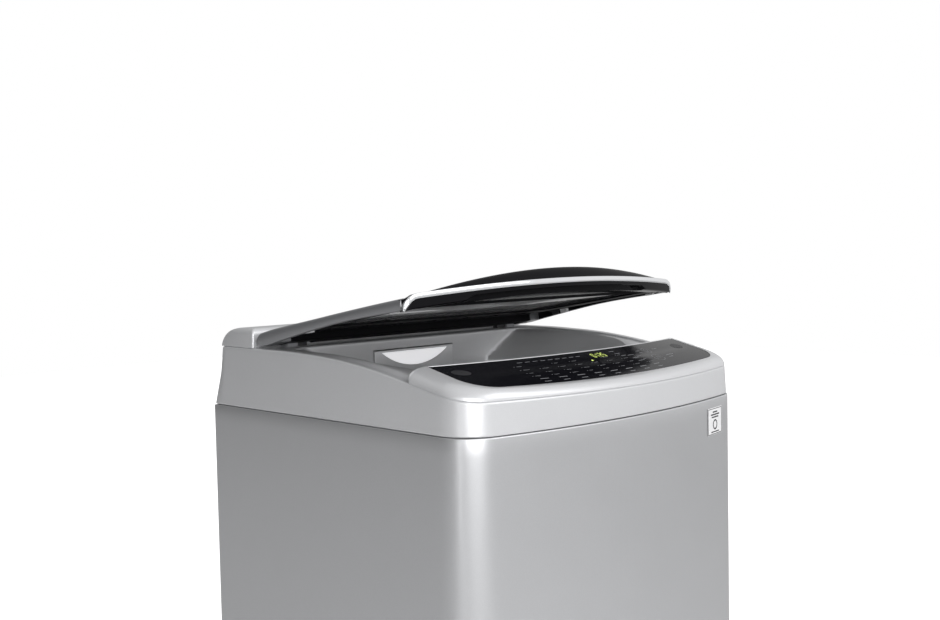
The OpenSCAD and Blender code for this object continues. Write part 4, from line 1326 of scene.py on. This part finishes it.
# ---------------------------------------------------------------- studio
ROOM_DIM = 0.06
ROOM_BRIGHT = 0.84
FLOOR_HALF = 9.0


def build_studio():
    """A pale floor that reads as pure white where the camera sees it, under the same white backdrop."""
    mesh = bpy.data.meshes.new("floor")
    corners = [(-1, -1), (1, -1), (1, 1), (-1, 1)]
    mesh.from_pydata([(FLOOR_HALF * x, FLOOR_HALF * y, 0) for x, y in corners], [], [(0, 1, 2, 3)])
    floor = bpy.data.objects.new("floor", mesh)
    bpy.context.scene.collection.objects.link(floor)
    mat = bpy.data.materials.new("floor_white")
    mat.use_nodes = True
    bsdf = mat.node_tree.nodes["Principled BSDF"]
    bsdf.inputs["Base Color"].default_value = (0.72, 0.72, 0.72, 1)
    bsdf.inputs["Roughness"].default_value = 0.9
    bsdf.inputs["Emission Color"].default_value = (1, 1, 1, 1)
    seen = mat.node_tree.nodes.new("ShaderNodeLightPath")
    mat.node_tree.links.new(seen.outputs["Is Camera Ray"], bsdf.inputs["Emission Strength"])
    mesh.materials.append(mat)
    bpy.context.scene.view_settings.view_transform = "Standard"
    build_world()


def build_world():
    """White to the camera; to everything else, a room bright at the front right and dim at the rear left."""
    world = bpy.data.worlds.new("studio")
    bpy.context.scene.world = world
    world.use_nodes = True
    nt = world.node_tree
    nodes, links = nt.nodes, nt.links
    coord = nodes.new("ShaderNodeTexCoord")
    facing = nodes.new("ShaderNodeVectorMath")
    facing.operation = "DOT_PRODUCT"
    facing.inputs[1].default_value = (0.62, -0.62, 0.48)
    links.new(coord.outputs["Generated"], facing.inputs[0])
    shade = nodes.new("ShaderNodeMapRange")
    shade.inputs["From Min"].default_value = -0.88
    shade.inputs["From Max"].default_value = 0.88
    shade.inputs["To Min"].default_value = ROOM_DIM
    shade.inputs["To Max"].default_value = ROOM_BRIGHT
    links.new(facing.outputs["Value"], shade.inputs["Value"])
    seen = nodes.new("ShaderNodeLightPath")
    pick = nodes.new("ShaderNodeMix")
    pick.data_type = "FLOAT"
    pick.inputs[3].default_value = 1.0
    links.new(seen.outputs["Is Camera Ray"], pick.inputs[0])
    links.new(shade.outputs["Result"], pick.inputs[2])
    back = nodes["Background"]
    back.inputs["Color"].default_value = (1, 1, 1, 1)
    links.new(pick.outputs[0], back.inputs["Strength"])


def area_light(name, place, target, size, power):
    data = bpy.data.lights.new(name, "AREA")
    data.shape = "RECTANGLE"
    data.size, data.size_y = size
    data.energy = power
    obj = bpy.data.objects.new(name, data)
    obj.location = place
    obj.rotation_euler = (Vector(target) - Vector(place)).to_track_quat("-Z", "Y").to_euler()
    bpy.context.scene.collection.objects.link(obj)


def build_camera():
    """The camera stands in front of the machine's left corner, a little above its lid."""
    place = Vector((-1.2415, -1.2249, 1.0704))
    yaw, pitch, roll = 0.7818, 0.0534, -0.0201
    ahead = Vector((math.sin(yaw) * math.cos(pitch), math.cos(yaw) * math.cos(pitch), -math.sin(pitch)))
    right = Vector((math.cos(yaw), -math.sin(yaw), 0))
    up = right.cross(ahead)
    c, s = math.cos(roll), math.sin(roll)
    right, up = c * right + s * up, -s * right + c * up
    data = bpy.data.cameras.new("camera")
    data.sensor_width = 36.0
    data.lens = 44.02
    cam = bpy.data.objects.new("camera", data)
    cam.matrix_world = Matrix(((right.x, up.x, -ahead.x, place.x), (right.y, up.y, -ahead.y, place.y),
                               (right.z, up.z, -ahead.z, place.z), (0, 0, 0, 1)))
    bpy.context.scene.collection.objects.link(cam)
    bpy.context.scene.camera = cam


build_cabinet()
build_top_cover()
build_rear_cap()
build_console()
build_glass()
build_lid_rails()
build_inner_frame()
build_lid_glass()
build_nose()
build_strip()
build_drawer_face()
build_badge()
build_springs()
build_drain_hose()
build_basket()
build_pulsator()
dress_cad()
build_studio()
area_light("key", (0.9, -2.6, 2.8), (0, 0, 0.8), (2.4, 2.4), 30)
area_light("fill", (-1.5, -1.9, 1.35), (0, 0.1, 0.9), (1.6, 1.2), 30)
area_light("streak", (-3.2, -1.05, 1.0), (-0.27, -0.27, 0.8), (0.30, 2.2), 5)
build_camera()
